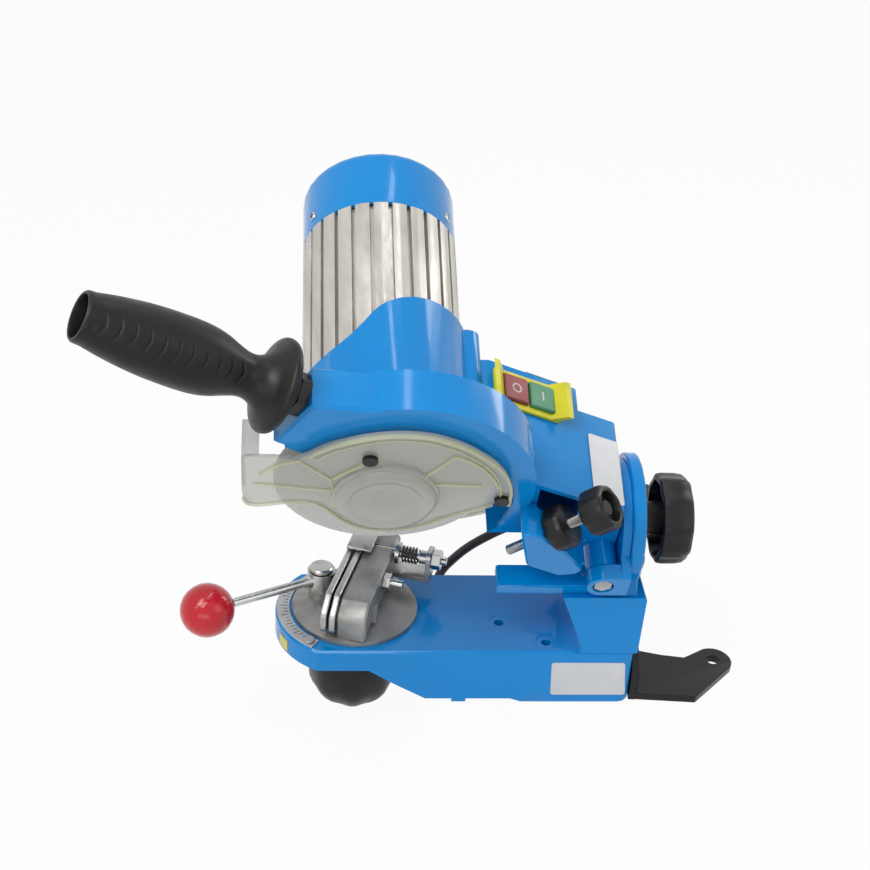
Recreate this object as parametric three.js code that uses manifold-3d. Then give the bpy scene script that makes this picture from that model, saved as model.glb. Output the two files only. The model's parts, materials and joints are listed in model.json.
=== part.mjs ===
// Electric chainsaw sharpener: a cast base with a swivelling chain vise, and a grinding arm that tilts and swings.
// Millimetres, Z up. The origin is on the base's underside, on its centre line, between the two bench bolts.
// +X points to the rear of the machine, -X to the operator, -Y to the side that the vise lever and depth stop show.

import * as THREE from 'three';
import { mergeVertices } from 'three/addons/utils/BufferGeometryUtils.js';
import Module from 'manifold-3d';

const wasm = await Module();
wasm.setup();

// Clearances
const gap = 0.3;               // between pieces that seat on each other
const running = 0.5;           // round a shaft, rod or pin that turns in its bore
const overrun = 4;             // how far a cutting body passes the face that it opens
const bury = 0.5;              // how far a joined body sinks into its neighbour in one casting

// Base casting
const baseRear = 77;           // X of the rear wall at the bench
const baseRearTop = 79.5;      // X of the rear wall at the column top
const baseHalf = 46;           // half width
const shelfZ = 46;             // top of the shelf
const shelfSkin = 6;
const baseWall = 5;
const noseRadius = 57;         // round front end about the vise axis
const viseX = -120;
const viseY = 4;
const noseBottom = 29;         // skirt height under the nose
const skirtBottom = 4;         // skirt height under the middle
const skirtStart = -111;       // where the skirt starts to drop
const skirtKnee = -90;
const skirtKneeZ = 15.5;
const skirtEnd = -70;          // where it has dropped
const nubX = -46;              // small front foot
const nubLength = 10;
const padSlopeStart = -9;      // rear pad: the part that stands on the bench
const padStart = 2;
const ribHalf = 5;             // cross rib at the origin
const benchBolts = [[-17, -11.5], [14.5, -34]];
const benchBoltHole = 7;
const washerSeat = 15;         // spot face round each bolt hole, across
const washerSeatDepth = 0.5;
const benchBossWall = 4.5;
const rearCorner = 8;          // radius of the rear upright corners
const viseStud = 6;
const viseBossRadius = 24;     // thick hub under the turntable

// Column and upright
const columnTop = 94;
const columnFootX = 39.6;      // foot of the column's front edge
const columnHeadX = 20.5;      // head of the column's front edge, which leans forwards
const columnFillet = 7;
const columnWall = 7;
const uprightStep = 8;         // height over which the rear wall steps in above the column
const uprightFront = 64;
const uprightThickness = 9;
const lobeRadius = 46;         // round head of the upright, about the tilt axis
const troughRadius = 52;       // round trough in the column that the tilting bracket passes through

// Head: everything that tilts about the X axis
const tiltZ = 130;             // height of the tilt axis
const tiltRest = 24;           // degrees that the wheel leans at rest
const tiltBore = 12;

// Tilting bracket
const discRadius = 42;
const discThickness = 6;
const hingeX = 46;             // arm hinge axis, along the wheel axis's direction
const hingeRadius = 11.2;
const hingePin = 8;
const earNear = -56;           // outer face of the near ear
const earThickness = 11.5;
const earFar = 44;             // outer face of the far ear
const anvilX = -26;            // front end of the bar that the depth stop lands on
const anvilTop = -5;
const anvilBottom = -16;
const anvilNear = -52;
const anvilFar = -36;
const lugFar = 12;             // far end of the arm's hinge lug
const springWire = 2;
const springCurls = 6;
const springRadius = 9.5;

// Wheel and motor, about the wheel axis
const wheelX = -107;
const wheelH = 80;
const wheelRadius = 72.5;
const wheelThickness = 3.2;
const wheelNear = -22;         // near face of the wheel
const spindle = 12;
const wheelBore = 22.2;
const flangeRadius = 25;
const flangeThickness = 5;
const motorRadius = 54;
const motorBore = 46;
const motorStart = 8;
const motorEnd = 169;
const capEnd = 222;
const flutes = 26;
const fluteWidth = 3;
const fluteDepth = 4;
const capWall = 3;
const capEdge = 9;

// Arm casting: guard bowl, motor collar, switch housing and hinge lug
const bowlX = -97;
const bowlH = 80;
const bowlRadius = 88;
const bowlWall = 4;
const bowlNear = -28.6;
const bowlBack = 1.5;
const backPlate = 5;
const rimX = -99.5;            // circle that opens the bowl's front rim
const rimH = 64.7;
const rimRadius = 77.5;
const rimThickness = 3;
const collarRadius = 57.5;
const collarLow = 50;
const collarHigh = 88;
const boxNear = -24.5;
const boxFar = 48;
const boxDeep = 66;            // far face of the deep part
const boxDeepX = 28;           // the deep part ends here
const boxTopX = -9;
const boxCrestX = -36;
const boxTopSlope = -0.5;      // fall of the switch face, rise over run
const boxRear = 56.3;
const boxWall = 4;
const coverThickness = 2.1;

// Seats and small parts of the arm
const anvilFillet = 1.5;
const hingeHeadSink = 5;
const hingeHeadShare = 0.9;    // radius of the head's recess over the pin's diameter
const hexFillShare = 0.96;     // how much of its recess a hexagon fills
const boltHeadHeight = 4;
const nutHeight = 6;
const hingeNutFlats = 17;
const lowFromShare = 0.6;      // places along the collar's wavy top, over its radius
const waveMidShare = 0.28;
const waveEndShare = 0.1;
const bulgeWidth = 20;
const bulgeReach = 8;
const boxToeX = 25;            // lower outline of the switch housing
const boxToeH = 8;
const boxLeftX = -7;
const boxLeftH = 19;
const boxClearX = 62;
const lugLeftX = -18;
const lugTopH = 62;
const lugToeX = -9;
const lugRightX = 33;
const lugSeatBack = 7.3;        // from the lock knob's centre to its seat
const lugSeatHalf = 14;
const lugNear = -51;
const stopToeX = 14;
const stopToeH = 6;
const handleAngle = 30;        // above the line to the front
const handleY = -13;
const handleOffset = 36;        // the handle's axis lies this far above the bowl's centre
const shoulderLow = 2;          // the handle's flat shoulder on the bowl, from here
const shoulderHigh = 48;        // up to here, square to the handle's axis
const shoulderTop = 64;         // where its top runs into the bowl's rim
const handleSeat = 96;         // from the bowl's centre to the seat of the collar nut
const handleStud = 5;
const stopAngle = 43.6;        // rise of the depth screw
const stopX = 11;              // centre of the lock knob
const stopH = 52;
const stopY = -40;
const stopRodRadius = 3;
const stopLength = 60;
const bearingOuter = 16;
const hubRadius = 24;

// Switch and plate
const switchX = -11;            // centre of the switch on the sloping face
const switchY = 45;
const frameLength = 52;
const frameWidth = 29;
const frameLip = 2.5;
const frameRise = 3;
const frameDepth = 12;
const wedgeFoot = 4;
const wedgeFlare = 5;
const wedgeRise = 8;
const buttonLength = 19;
const buttonWidth = 20;
const buttonPitch = 21;
const buttonPlay = 0.4;
const buttonRise = 6;
const buttonDepth = 9;
const plateX = 62.2;             // along the slope from the switch's centre
const plateY = -40;            // from the switch's centre, along the wheel axis
const plateWidth = 25;
const plateLength = 52;
const plateThickness = 0.6;

// Motor and wheel details
const fluteTurnShare = 0.35;
const capDome = 3;
const statorBore = 30;
const statorStart = 40;
const statorEnd = 130;
const rearBearing = 196;
const bearingWidth = 9;
const spindleTip = -36;
const wheelRound = 1.2;
const wheelNutFlats = 18;
const wheelNutHeight = 7;

// Clear guards
const rimLap = 3;
const bossRadius = 32;
const bossFlare = 3;
const bossRound = 3;
const bossNear = -41;
const spoutRight = -186;
const spoutFar = -5;
const coverScrew = 5;
const coverScrewHead = 6;
const coverScrews = [[-119, 122], [-31.5, 77]];
// Corners of the clear guards, from the wheel axis, over the wheel's radius
const coverShares = [[-1.27, 0.43], [-1.27, 0.14], [-1.17, -0.06], [-0.84, -0.01], [-0.64, -0.04], [-0.5, -0.17], [-0.4, -0.34],
  [-0.22, -0.44], [0, -0.49], [0.24, -0.43], [0.5, -0.27], [0.94, -0.02]];
const farGuardShares = [[0.1, -0.6], [0.25, -1.0], [0.42, -1.15], [0.66, -1.18], [1.0, -1.05], [1.24, -0.86], [1.2, -0.4], [0.6, -0.3]];

// Side handle and knobs
const handleNutHeight = 7;
const handleNutFlats = 24;
const handleRoot = 13;
const handleNeck = 6;
const handleFlange = 35;
const handleLength = 123;
const gripThin = 15.8;
const gripThick = 23.7;
const gripEnd = 18.5;
const gripShares = [0, 0.12, 0.5, 0.85, 0.98, 1, 0.97, 0.88, 0.72, 0.45];
const gripRibs = 9;
const gripRibWidth = 8;
const gripRibDepth = 1.6;
const gripHollow = 15;
const gripHollowDepth = 20;
const knobScallopShare = 0.12;
const stopKnobRadius = 15;
const stopKnobLength = 18;
const stopLockLength = 14;
const stopTip = 44;
const stopEnd = 40;
const knobOuter = 111;         // outer face of the tilt lock knob
const knobWeb = 6;

// Vise
const viseAngle = 17.2;        // degrees that the jaws are turned from square
const turntableRadius = 45;
const turntableRim = 3;
const turntableTop = 55;
const turntableHub = 24;
const scaleInner = 47;
const scaleOuter = 56;
const scaleThickness = 1;
const scaleFrom = 150;
const scaleTo = 236;
const scaleScrew = 2.5;
const jawTop = 79;
const jawLeft = -2;
const jawRight = 19;
const jawNear = -42;
const jawFar = 55;
const jawNose = 9;             // slope of the jaw block's near end
const jawFootWall = 8;
const jawPlate = 4.6;
const jawGap = 1.5;            // between the open plates
const jawTravel = 1.2;
const plateRise = 2;           // the plates stand above the block
const plateLow = 57;
const clampX = -25;
const clampV = -2;
const clampPin = 4;
const clampHub = 10;
const clampHubLow = 61;
const clampHubHigh = 76;
const clampBolt = 8.5;
const clampBoltHeight = 3.5;
const leverTurn = -135.5;      // direction of the lever from the jaws' square direction
const leverRod = 3.2;
const leverLength = 89;
const leverRise = 2;
const ballRadius = 19;
const adjusterV = 35;
const adjusterZ = 76;
const adjusterRod = 3;
const adjusterEnd = 58;
const ringRadius = 8;
const ringWidth = 3;
const coilWire = 1.6;
const coilRadius = 5.6;
const coilCurls = 5;
const coilStart = 24;
const coilEnd = 38;
const stopBracketX = 44;
const stopBracketThickness = 3.5;
const stopBracketTop = 84;
const stopBracketLow = 60;
const stopBracketHalf = 8;
const adjusterNutFlats = 13;
const studV = 6;
const studZ = 70;
const studEnd = 33;
const pawlV = 46;
const pawlLength = 26;
const pawlWidth = 7;
const pawlThickness = 3;
const pawlPin = 2;
const viseKnobRadius = 28;
const viseKnobTop = 20;
const viseKnobLow = -22;
const tiltKnobRadius = 32;
const tiltKnobNear = 88;
const knobWall = 5;
const washerThickness = 4.5;

// Bent steel bracket at the rear
const bracketSteel = 6;
const bracketHeight = 38;
const bracketNear = -42;
const bracketFar = 8;
const bracketEnd = 161;
const bracketHoleX = 147;
const bracketHoleY = -4;
const bracketHole = 5;
const bracketEye = 14;

// Mains cord: plug and strain relief
const cordRadius = 3.5;
const reliefX = 48;
const reliefZ = 60;
const reliefLength = 28;
const reliefThick = 6.5;
const reliefThin = 4.6;
const plugRadius = 10;
const plugBack = 6;
const plugLength = 38;
const plugPin = 2.4;
const plugPinLength = 19;
const plugPinPitch = 19 / 2;
const coilX = 68;              // centre of the stored coil, behind the base
const coilY = 124;
const cordCoilRadius = 45.7;   // outer turn, at the cord's middle
const cordCoilTurns = 4.25;    // in two layers
const cordPitch = 7.6;         // from turn to turn
const cordRise = 7.5;          // from layer to layer
const cordFloor = 3.8;         // height of the cord's middle where it lies
// Chosen points of the cord from the strain relief, down behind the base and to its coil
const cordPoints = [
  [48, 82, 59.8], [46, 92, 59], [39, 101, 57], [28, 107, 54], [14, 109, 50], [-2, 108, 44],
  [-16, 106, 37], [-28, 103.5, 30], [-38, 101, 22], [-49, 93, 14], [-54, 80, 8], [-51, 67, 5],
  [-42, 57, 4], [-28, 52.5, 3.8], [-10, 52, 3.8], [8, 53, 3.8], [26, 59, 3.8], [40, 68, 3.8],
  [50, 76, 3.8], [54.5, 78, 3.8],
];
const tailPoints = [[114, 137, 11.2], [116.5, 147, 11], [121, 158, 10.7], [124, 166, 10.5]];

const rad = THREE.MathUtils.degToRad;
const tiltAngle = rad(tiltRest);

// Geometry helpers

function signedVolume(positions, index) {
  const [a, b, c] = [new THREE.Vector3(), new THREE.Vector3(), new THREE.Vector3()];
  let sum = 0;
  for (let i = 0; i < index.length; i += 3) {
    a.fromArray(positions, index[i] * 3);
    b.fromArray(positions, index[i + 1] * 3);
    c.fromArray(positions, index[i + 2] * 3);
    sum += a.dot(b.cross(c));
  }
  return sum / 6;
}

// A closed geometry as a solid that can be joined and cut
function solid(geometry) {
  const bare = geometry.clone();
  bare.deleteAttribute('normal');
  bare.deleteAttribute('uv');
  const merged = mergeVertices(bare, 1e-4);
  const positions = merged.getAttribute('position').array;
  const all = merged.getIndex().array;
  const kept = [];
  for (let i = 0; i < all.length; i += 3) {
    const [a, b, c] = [all[i], all[i + 1], all[i + 2]];
    if (a !== b && b !== c && c !== a) kept.push(a, b, c);
  }
  if (signedVolume(positions, kept) < 0) {
    for (let i = 0; i < kept.length; i += 3) [kept[i], kept[i + 1]] = [kept[i + 1], kept[i]];
  }
  const vertProperties = new Float32Array(positions);
  return new wasm.Manifold(new wasm.Mesh({ numProp: 3, vertProperties, triVerts: new Uint32Array(kept) }));
}

function geometryOf(body) {
  const mesh = body.getMesh();
  const geometry = new THREE.BufferGeometry();
  geometry.setAttribute('position', new THREE.BufferAttribute(new Float32Array(mesh.vertProperties), 3));
  geometry.setIndex(Array.from(mesh.triVerts));
  geometry.computeVertexNormals();
  return geometry;
}

const asSolid = (item) => (item.isBufferGeometry ? solid(item) : item);

function join(...items) {
  return items.map(asSolid).reduce((sum, next) => sum.add(next));
}

function cut(body, ...tools) {
  return tools.flat().map(asSolid).reduce((rest, tool) => rest.subtract(tool), asSolid(body));
}

function common(body, ...others) {
  return others.map(asSolid).reduce((rest, other) => rest.intersect(other), asSolid(body));
}

// An outline from corners [x, y, radius]; a corner with a radius becomes an arc
function outline(corners, steps = 3) {
  const points = [];
  const count = corners.length;
  corners.forEach(([x, y, radius = 0], i) => {
    const corner = new THREE.Vector2(x, y);
    if (!radius) {
      points.push(corner);
      return;
    }
    const before = new THREE.Vector2(...corners[(i + count - 1) % count]).sub(corner);
    const after = new THREE.Vector2(...corners[(i + 1) % count]).sub(corner);
    const room = Math.min(before.length(), after.length()) / 2;
    before.normalize();
    after.normalize();
    const half = Math.acos(THREE.MathUtils.clamp(before.dot(after), -1, 1)) / 2;
    const reach = Math.min(radius / Math.tan(half), room);
    const start = corner.clone().addScaledVector(before, reach);
    const end = corner.clone().addScaledVector(after, reach);
    const arcRadius = reach * Math.tan(half);
    const middle = before.clone().add(after).normalize();
    const centre = corner.clone().addScaledVector(middle, arcRadius / Math.sin(half));
    const from = start.clone().sub(centre).angle();
    let sweep = end.clone().sub(centre).angle() - from;
    if (sweep > Math.PI) sweep -= 2 * Math.PI;
    if (sweep < -Math.PI) sweep += 2 * Math.PI;
    for (let k = 0; k <= steps; k += 1) {
      const angle = from + (sweep * k) / steps;
      points.push(new THREE.Vector2(Math.cos(angle), Math.sin(angle)).multiplyScalar(arcRadius).add(centre));
    }
  });
  return points;
}

// Points on an arc about [cx, cy], in degrees
function arc(cx, cy, radius, from, to, steps) {
  return Array.from({ length: steps + 1 }, (_, k) => {
    const angle = rad(from + ((to - from) * k) / steps);
    return [cx + radius * Math.cos(angle), cy + radius * Math.sin(angle)];
  });
}

const circle = (radius, sides) => arc(0, 0, radius, 0, 360 - 360 / sides, sides - 1);

const vectors = (points) => points.map((p) => (p.isVector2 ? p : new THREE.Vector2(p[0], p[1])));

// An outline in a plane, pushed out along the third axis from one place to another, with rounded rims if asked
function slab(points, from, to, rim = 0, holes = [], rimSteps = 1) {
  const shape = new THREE.Shape(vectors(points));
  shape.holes = holes.map((hole) => new THREE.Path(vectors(hole)));
  const low = Math.min(from, to);
  const length = Math.abs(to - from);
  const bevel = rim
    ? { bevelEnabled: true, bevelThickness: rim, bevelSize: rim, bevelOffset: -rim, bevelSegments: rimSteps }
    : { bevelEnabled: false };
  const geometry = new THREE.ExtrudeGeometry(shape, { depth: length - 2 * rim, steps: 1, curveSegments: 6, ...bevel });
  return geometry.translate(0, 0, low + rim);
}

const basis = (x, y, z) => new THREE.Matrix4().makeBasis(x, y, z);
const X = new THREE.Vector3(1, 0, 0);
const Y = new THREE.Vector3(0, 1, 0);
const Z = new THREE.Vector3(0, 0, 1);
const standing = basis(X, Z, Y.clone().negate());   // drawn in X and Z, pushed out along Y
const facing = basis(Y, Z, X);                      // drawn in Y and Z, pushed out along X

const plan = (points, z0, z1, rim, holes, rimSteps) => slab(points, z0, z1, rim, holes, rimSteps);
const side = (points, y0, y1, rim, holes, rimSteps) =>
  slab(points, -Math.max(y0, y1), -Math.min(y0, y1), rim, holes, rimSteps).applyMatrix4(standing);
const front = (points, x0, x1, rim, holes, rimSteps) =>
  slab(points, x0, x1, rim, holes, rimSteps).applyMatrix4(facing);

// A turned body from a profile of [radius, place along the axis]
function turned(profile, sides) {
  return new THREE.LatheGeometry(vectors(profile), sides).rotateX(Math.PI / 2);
}

const asGeometry = (item) => (item.isBufferGeometry ? item : geometryOf(item));
const alongX = (item) => asGeometry(item).applyMatrix4(facing);
const alongY = (item) => asGeometry(item).applyMatrix4(basis(Z, X, Y));

function rod(radius, from, to, sides = 24) {
  return turned([[0, from], [radius, from], [radius, to], [0, to]], sides);
}

function tube(outer, inner, from, to, sides = 24) {
  return turned([[inner, from], [outer, from], [outer, to], [inner, to], [inner, from]], sides);
}

const oblong = (length, width, x, corner = 1) => outline([
  [x - length / 2, -width / 2, corner], [x + length / 2, -width / 2, corner],
  [x + length / 2, width / 2, corner], [x - length / 2, width / 2, corner]], 2);

// A hexagon across flats, along Z
function hexagon(flats, from, to) {
  return plan(arc(0, 0, flats / Math.sqrt(3), 0, 300, 5), from, to);
}

// A hand knob's lobed outline: shallow scallops round a circle
function lobed(radius, lobes, depth, stepsPerLobe = 6) {
  const count = lobes * stepsPerLobe;
  return Array.from({ length: count }, (_, k) => {
    const turn = (k / count) * 2 * Math.PI;
    const r = radius - depth * Math.pow(0.5 - 0.5 * Math.cos(turn * lobes), 2);
    return [r * Math.cos(turn), r * Math.sin(turn)];
  });
}

// Points of a coil spring about Z, with straight ends one wire long
function spiral(radius, from, to, curls, wire) {
  const count = curls * 8;
  const turns = Array.from({ length: count + 1 }, (_, i) => {
    const angle = (i / 8) * 2 * Math.PI;
    return [radius * Math.cos(angle), radius * Math.sin(angle), from + ((to - from) * i) / count];
  });
  return [[radius, -wire, from], ...turns, [radius, wire, to]];
}

// One unbroken tube of a few sides through points that wind about Z
function woundTube(points, sides, radius) {
  const at = (i) => new THREE.Vector3(...points[THREE.MathUtils.clamp(i, 0, points.length - 1)]);
  const rings = points.map((_, i) => {
    const along = at(i + 1).sub(at(i - 1)).normalize();
    const across = new THREE.Vector3().crossVectors(along, Z).normalize();
    const over = new THREE.Vector3().crossVectors(across, along);
    return circle(radius, sides).map(([a, b]) => at(i).addScaledVector(across, a).addScaledVector(over, b));
  });
  const index = [];
  for (let i = 0; i < rings.length - 1; i += 1) {
    for (let j = 0; j < sides; j += 1) {
      const [a, b] = [i * sides + j, i * sides + ((j + 1) % sides)];
      index.push(a, b, a + sides, b, b + sides, a + sides);
    }
  }
  const last = (rings.length - 1) * sides;
  for (let j = 1; j < sides - 1; j += 1) index.push(0, j + 1, j, last, last + j, last + j + 1);
  const geometry = new THREE.BufferGeometry();
  geometry.setAttribute('position', new THREE.Float32BufferAttribute(rings.flat().flatMap((p) => p.toArray()), 3));
  geometry.setIndex(index);
  return geometry;
}

// Colours of the real finishes
const finish = {
  blue: { color: 0x167dc8, roughness: 0.3, metalness: 0.1 },
  black: { color: 0x232123, roughness: 0.5, metalness: 0 },
  darkSteel: { color: 0x2a2a2b, roughness: 0.55, metalness: 0.3 },
  steel: { color: 0xb5b6b4, roughness: 0.3, metalness: 0.9 },
  castAlloy: { color: 0x8f8f8d, roughness: 0.45, metalness: 0.8 },
  alloy: { color: 0xb9bab4, roughness: 0.4, metalness: 0.8 },
  red: { color: 0xd71928, roughness: 0.2, metalness: 0 },
  redButton: { color: 0x8c4646, roughness: 0.4, metalness: 0 },
  greenButton: { color: 0x508c6e, roughness: 0.4, metalness: 0 },
  yellow: { color: 0xe1dc14, roughness: 0.4, metalness: 0 },
  clear: { color: 0xcfd0bc, roughness: 0.15, metalness: 0 },
  stone: { color: 0xb98a5a, roughness: 0.95, metalness: 0 },
  copper: { color: 0xa8643a, roughness: 0.5, metalness: 0.6 },
  plate: { color: 0xd9dde0, roughness: 0.4, metalness: 0.2 },
};

function piece(name, body, kind, parent) {
  const geometry = body.isBufferGeometry ? geometryOf(solid(body)) : geometryOf(body);
  const mesh = new THREE.Mesh(geometry, new THREE.MeshStandardMaterial(finish[kind]));
  mesh.name = name;
  parent.add(mesh);
  return mesh;
}

const sharpener = new THREE.Group();

// Base casting: shelf, skirt, column and upright in one piece
function baseCasting() {
  const noseNear = Math.acos((baseHalf + viseY) / noseRadius);
  const noseFar = Math.acos((baseHalf - viseY) / noseRadius);
  const nearAngle = 270 - THREE.MathUtils.radToDeg(noseNear);
  const farAngle = 90 + THREE.MathUtils.radToDeg(noseFar);
  const nose = arc(viseX, viseY, noseRadius, farAngle, nearAngle, 14);
  const rearRound = outline([[baseRear, -baseHalf, rearCorner], [baseRear, baseHalf, rearCorner]
    , [columnHeadX, baseHalf], [columnHeadX, -baseHalf]], 3).slice(0, 8);
  const footprint = [...nose, ...vectors(rearRound).map((p) => [p.x, p.y])];
  const noseEnd = viseX - noseRadius;
  const profile = [
    [noseEnd - overrun, shelfZ], [noseEnd - overrun, noseBottom], [skirtStart, noseBottom],
    [skirtKnee, skirtKneeZ], [skirtEnd, skirtBottom], [nubX - nubLength / 2, skirtBottom],
    [nubX - nubLength / 2, 0], [nubX + nubLength / 2, 0], [nubX + nubLength / 2, skirtBottom],
    [padSlopeStart, skirtBottom], [padStart, 0], [baseRear + overrun, 0], [baseRear + overrun, shelfZ],
  ];
  const outer = common(plan(footprint, 0, shelfZ, 1.5), side(profile, -baseHalf - overrun, baseHalf + overrun));
  const inner = baseHalf - baseWall;
  const ceiling = shelfZ - shelfSkin;
  const bay = (x0, x1) => plan(outline([[x0, -inner, baseWall], [x1, -inner, baseWall], [x1, inner, baseWall],
    [x0, inner, baseWall]], 2), -overrun, ceiling);
  const noseBay = plan(arc(viseX, viseY, noseRadius - baseWall, 0, 345, 23), -overrun, ceiling);
  const noseSides = plan([[noseEnd, -inner], [skirtEnd, -inner], [skirtEnd, inner], [noseEnd, inner]], -overrun, ceiling);
  const shell = cut(outer, common(noseBay, noseSides), bay(viseX, -ribHalf), bay(ribHalf, baseRear - baseWall));
  const rib = plan([[-ribHalf - bury, -inner - bury], [ribHalf + bury, -inner - bury], [ribHalf + bury, inner + bury],
    [-ribHalf - bury, inner + bury]], 0, ceiling + bury);
  const bossRadius = benchBoltHole / 2 + benchBossWall;
  const bosses = benchBolts.map(([x, y]) => rod(bossRadius, 0, ceiling + bury, 20).translate(x, y, 0));
  const hub = rod(viseBossRadius, noseBottom, ceiling + bury, 28).translate(viseX, viseY, 0);
  return join(shell, rib, ...bosses, hub, ...columnParts());
}

function columnParts() {
  const backAt = (z) => baseRear + ((baseRearTop - baseRear) * z) / columnTop;
  const columnProfile = outline([
    [columnFootX - columnFillet, shelfZ - bury], [columnFootX, shelfZ + bury, columnFillet],
    [columnHeadX, columnTop], [baseRearTop, columnTop, 2],
    [backAt(shelfZ), shelfZ - bury],
  ], 3);
  const blockOutline = outline([[columnHeadX - columnFillet, -baseHalf], [baseRearTop + overrun, -baseHalf],
    [baseRearTop + overrun, baseHalf], [columnHeadX - columnFillet, baseHalf]], 3);
  const block = common(side(columnProfile, -baseHalf, baseHalf), plan(blockOutline, shelfZ - bury, columnTop));
  const lobe = arc(0, tiltZ, lobeRadius, -35, 215, 28);
  const uprightOutline = [[-baseHalf, columnTop - uprightStep], [baseHalf, columnTop - uprightStep], ...lobe];
  const upright = front(uprightOutline, uprightFront, uprightFront + uprightThickness, 1);
  const trough = alongX(rod(troughRadius, columnHeadX - columnFillet - overrun, uprightFront, 48)).translate(0, 0, tiltZ);
  const column = cut(block, trough);
  const bore = alongX(rod(tiltBore / 2 + running, uprightFront - overrun, uprightFront + uprightThickness + overrun));
  return [column, cut(upright, bore.translate(0, 0, tiltZ))];
}

// The hollow inside the column, open to the bay below it
function columnCore() {
  const inner = baseHalf - columnWall;
  return plan([[columnFootX + columnWall, -inner], [baseRear - columnWall, -inner],
    [baseRear - columnWall, inner], [columnFootX + columnWall, inner]],
  shelfZ - shelfSkin - overrun, tiltZ - troughRadius - columnWall);
}

const boltHoles = benchBolts.flatMap(([x, y]) => [
  rod(benchBoltHole / 2, -overrun, shelfZ + overrun, 16).translate(x, y, 0),
  rod(washerSeat / 2, shelfZ - washerSeatDepth, shelfZ + overrun, 20).translate(x, y, 0),
]);
piece('base_casting', cut(baseCasting(), boltHoles, columnCore(), rod(viseStud + running, 0, shelfZ + overrun, 20).translate(viseX, viseY, 0)), 'blue', sharpener);

// Head group: its x is the machine's X, its y runs along the wheel axis, its z lies in the wheel's plane
const head = new THREE.Group();
head.position.z = tiltZ;
head.rotation.x = tiltAngle;
sharpener.add(head);

const onHinge = (geometry) => alongY(geometry).translate(hingeX, 0, 0);
const onWheel = (geometry) => alongY(geometry).translate(wheelX, 0, wheelH);
const onBowl = (geometry) => alongY(geometry).translate(bowlX, 0, bowlH);

// Tilting bracket: disc against the upright, two ears for the arm hinge and a bar for the depth stop
function tiltBracket() {
  const discBack = uprightFront - gap;
  const discFront = discBack - discThickness;
  const reach = earNear;
  const round = arc(0, 0, discRadius, -160, 160, 26);
  const plate = front([...round, [reach, hingeRadius], [reach, -hingeRadius]].map(([a, b]) => [a, b]), discFront, discBack);
  const ears = [[earNear, earNear + earThickness], [earFar - earThickness, earFar]].map(([y0, y1]) => join(
    onHinge(rod(hingeRadius, y0, y1, 28)),
    side([[hingeX, -hingeRadius], [discFront + bury, -hingeRadius], [discFront + bury, hingeRadius], [hingeX, hingeRadius]], y0, y1),
  ));
  const anvil = side(outline([[anvilX, anvilBottom, 2], [hingeX, anvilBottom], [hingeX, anvilTop], [anvilX, anvilTop, 2]], 2),
    anvilNear, earNear + earThickness);
  const anvilEnd = side(outline([[anvilX, anvilBottom, 2], [hingeX - hingeRadius - 2 * gap - anvilFillet, anvilBottom],
    [hingeX - hingeRadius - 2 * gap - anvilFillet, anvilTop], [anvilX, anvilTop, 2]], 2), anvilNear, anvilFar);
  const pinBore = onHinge(rod(hingePin / 2 + gap, earNear - overrun, earFar + overrun));
  const headBore = onHinge(rod(hingePin * hingeHeadShare + gap, earNear - overrun, earNear + hingeHeadSink, 20));
  const stud = alongX(rod(tiltBore / 2, 0, discBack + overrun)).translate(0, 0, 0);
  const studBore = common(stud, front(arc(0, 0, tiltBore, 0, 345, 23), discFront - overrun, discBack + overrun));
  return cut(join(plate, ...ears, anvil, anvilEnd), pinBore, headBore, studBore);
}
piece('tilt_bracket', tiltBracket(), 'blue', head);

const discBackX = uprightFront - gap;
const discFrontX = discBackX - discThickness;
const uprightBack = uprightFront + uprightThickness;
piece('tilt_stud', alongX(turned([[0, discFrontX], [tiltBore / 2 - gap, discFrontX], [tiltBore / 2 - gap, knobOuter - knobWeb],
  [0, knobOuter - knobWeb]], 20)), 'steel', head);

// Hinge bolt with its hexagonal head sunk in the near ear, and its nut
const boltHead = hingePin * hingeHeadShare;
piece('hinge_bolt', onHinge(join(
  rod(hingePin / 2, earNear + hingeHeadSink - gap, earFar + nutHeight + gap, 20),
  hexagon(boltHead * Math.sqrt(3) * hexFillShare, earNear + hingeHeadSink - gap - boltHeadHeight, earNear + hingeHeadSink - gap),
)), 'steel', head);
piece('hinge_nut', onHinge(cut(hexagon(hingeNutFlats, earFar + gap, earFar + nutHeight),
  rod(hingePin / 2 + gap, earFar - overrun, earFar + nutHeight + overrun, 20))), 'steel', head);

// Return spring round the hinge bolt, between the arm's lug and the far ear
const returnCoil = spiral(springRadius, lugFar + springWire, earFar - earThickness - springWire, springCurls, springWire);
piece('return_spring', onHinge(woundTube(returnCoil, 5, springWire / 2)), 'steel', head);

// Arm casting
const boxTopAt = (x) => bowlH + boxTopSlope * (x - boxTopX);

function motorCollar() {
  const bell = onWheel(tube(collarRadius, motorRadius + gap, bowlBack - bury, collarHigh, 36));
  const low = wheelX + collarRadius;
  const step = plan([[wheelX - collarRadius - overrun, collarLow], [wheelX - collarRadius * lowFromShare, collarLow],
    [wheelX - collarRadius * waveMidShare, (collarLow + collarHigh) / 2], [wheelX - collarRadius * waveEndShare, collarHigh],
    [wheelX - collarRadius * waveEndShare, collarHigh + overrun], [wheelX - collarRadius - overrun, collarHigh + overrun]],
  wheelH - collarRadius - overrun, wheelH + collarRadius + overrun);
  const bulge = cut(side(outline([[low - bulgeWidth, wheelH + bulgeWidth], [low + bulgeReach, wheelH + bulgeWidth, bulgeReach],
    [low + bulgeReach, wheelH - bulgeWidth, bulgeReach], [low - bulgeWidth, wheelH - bulgeWidth]], 4), bowlBack - bury, collarHigh, 2),
  onWheel(rod(motorRadius + gap, -overrun, collarHigh + overrun, 36)));
  return cut(join(bell, bulge), step);
}

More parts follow.
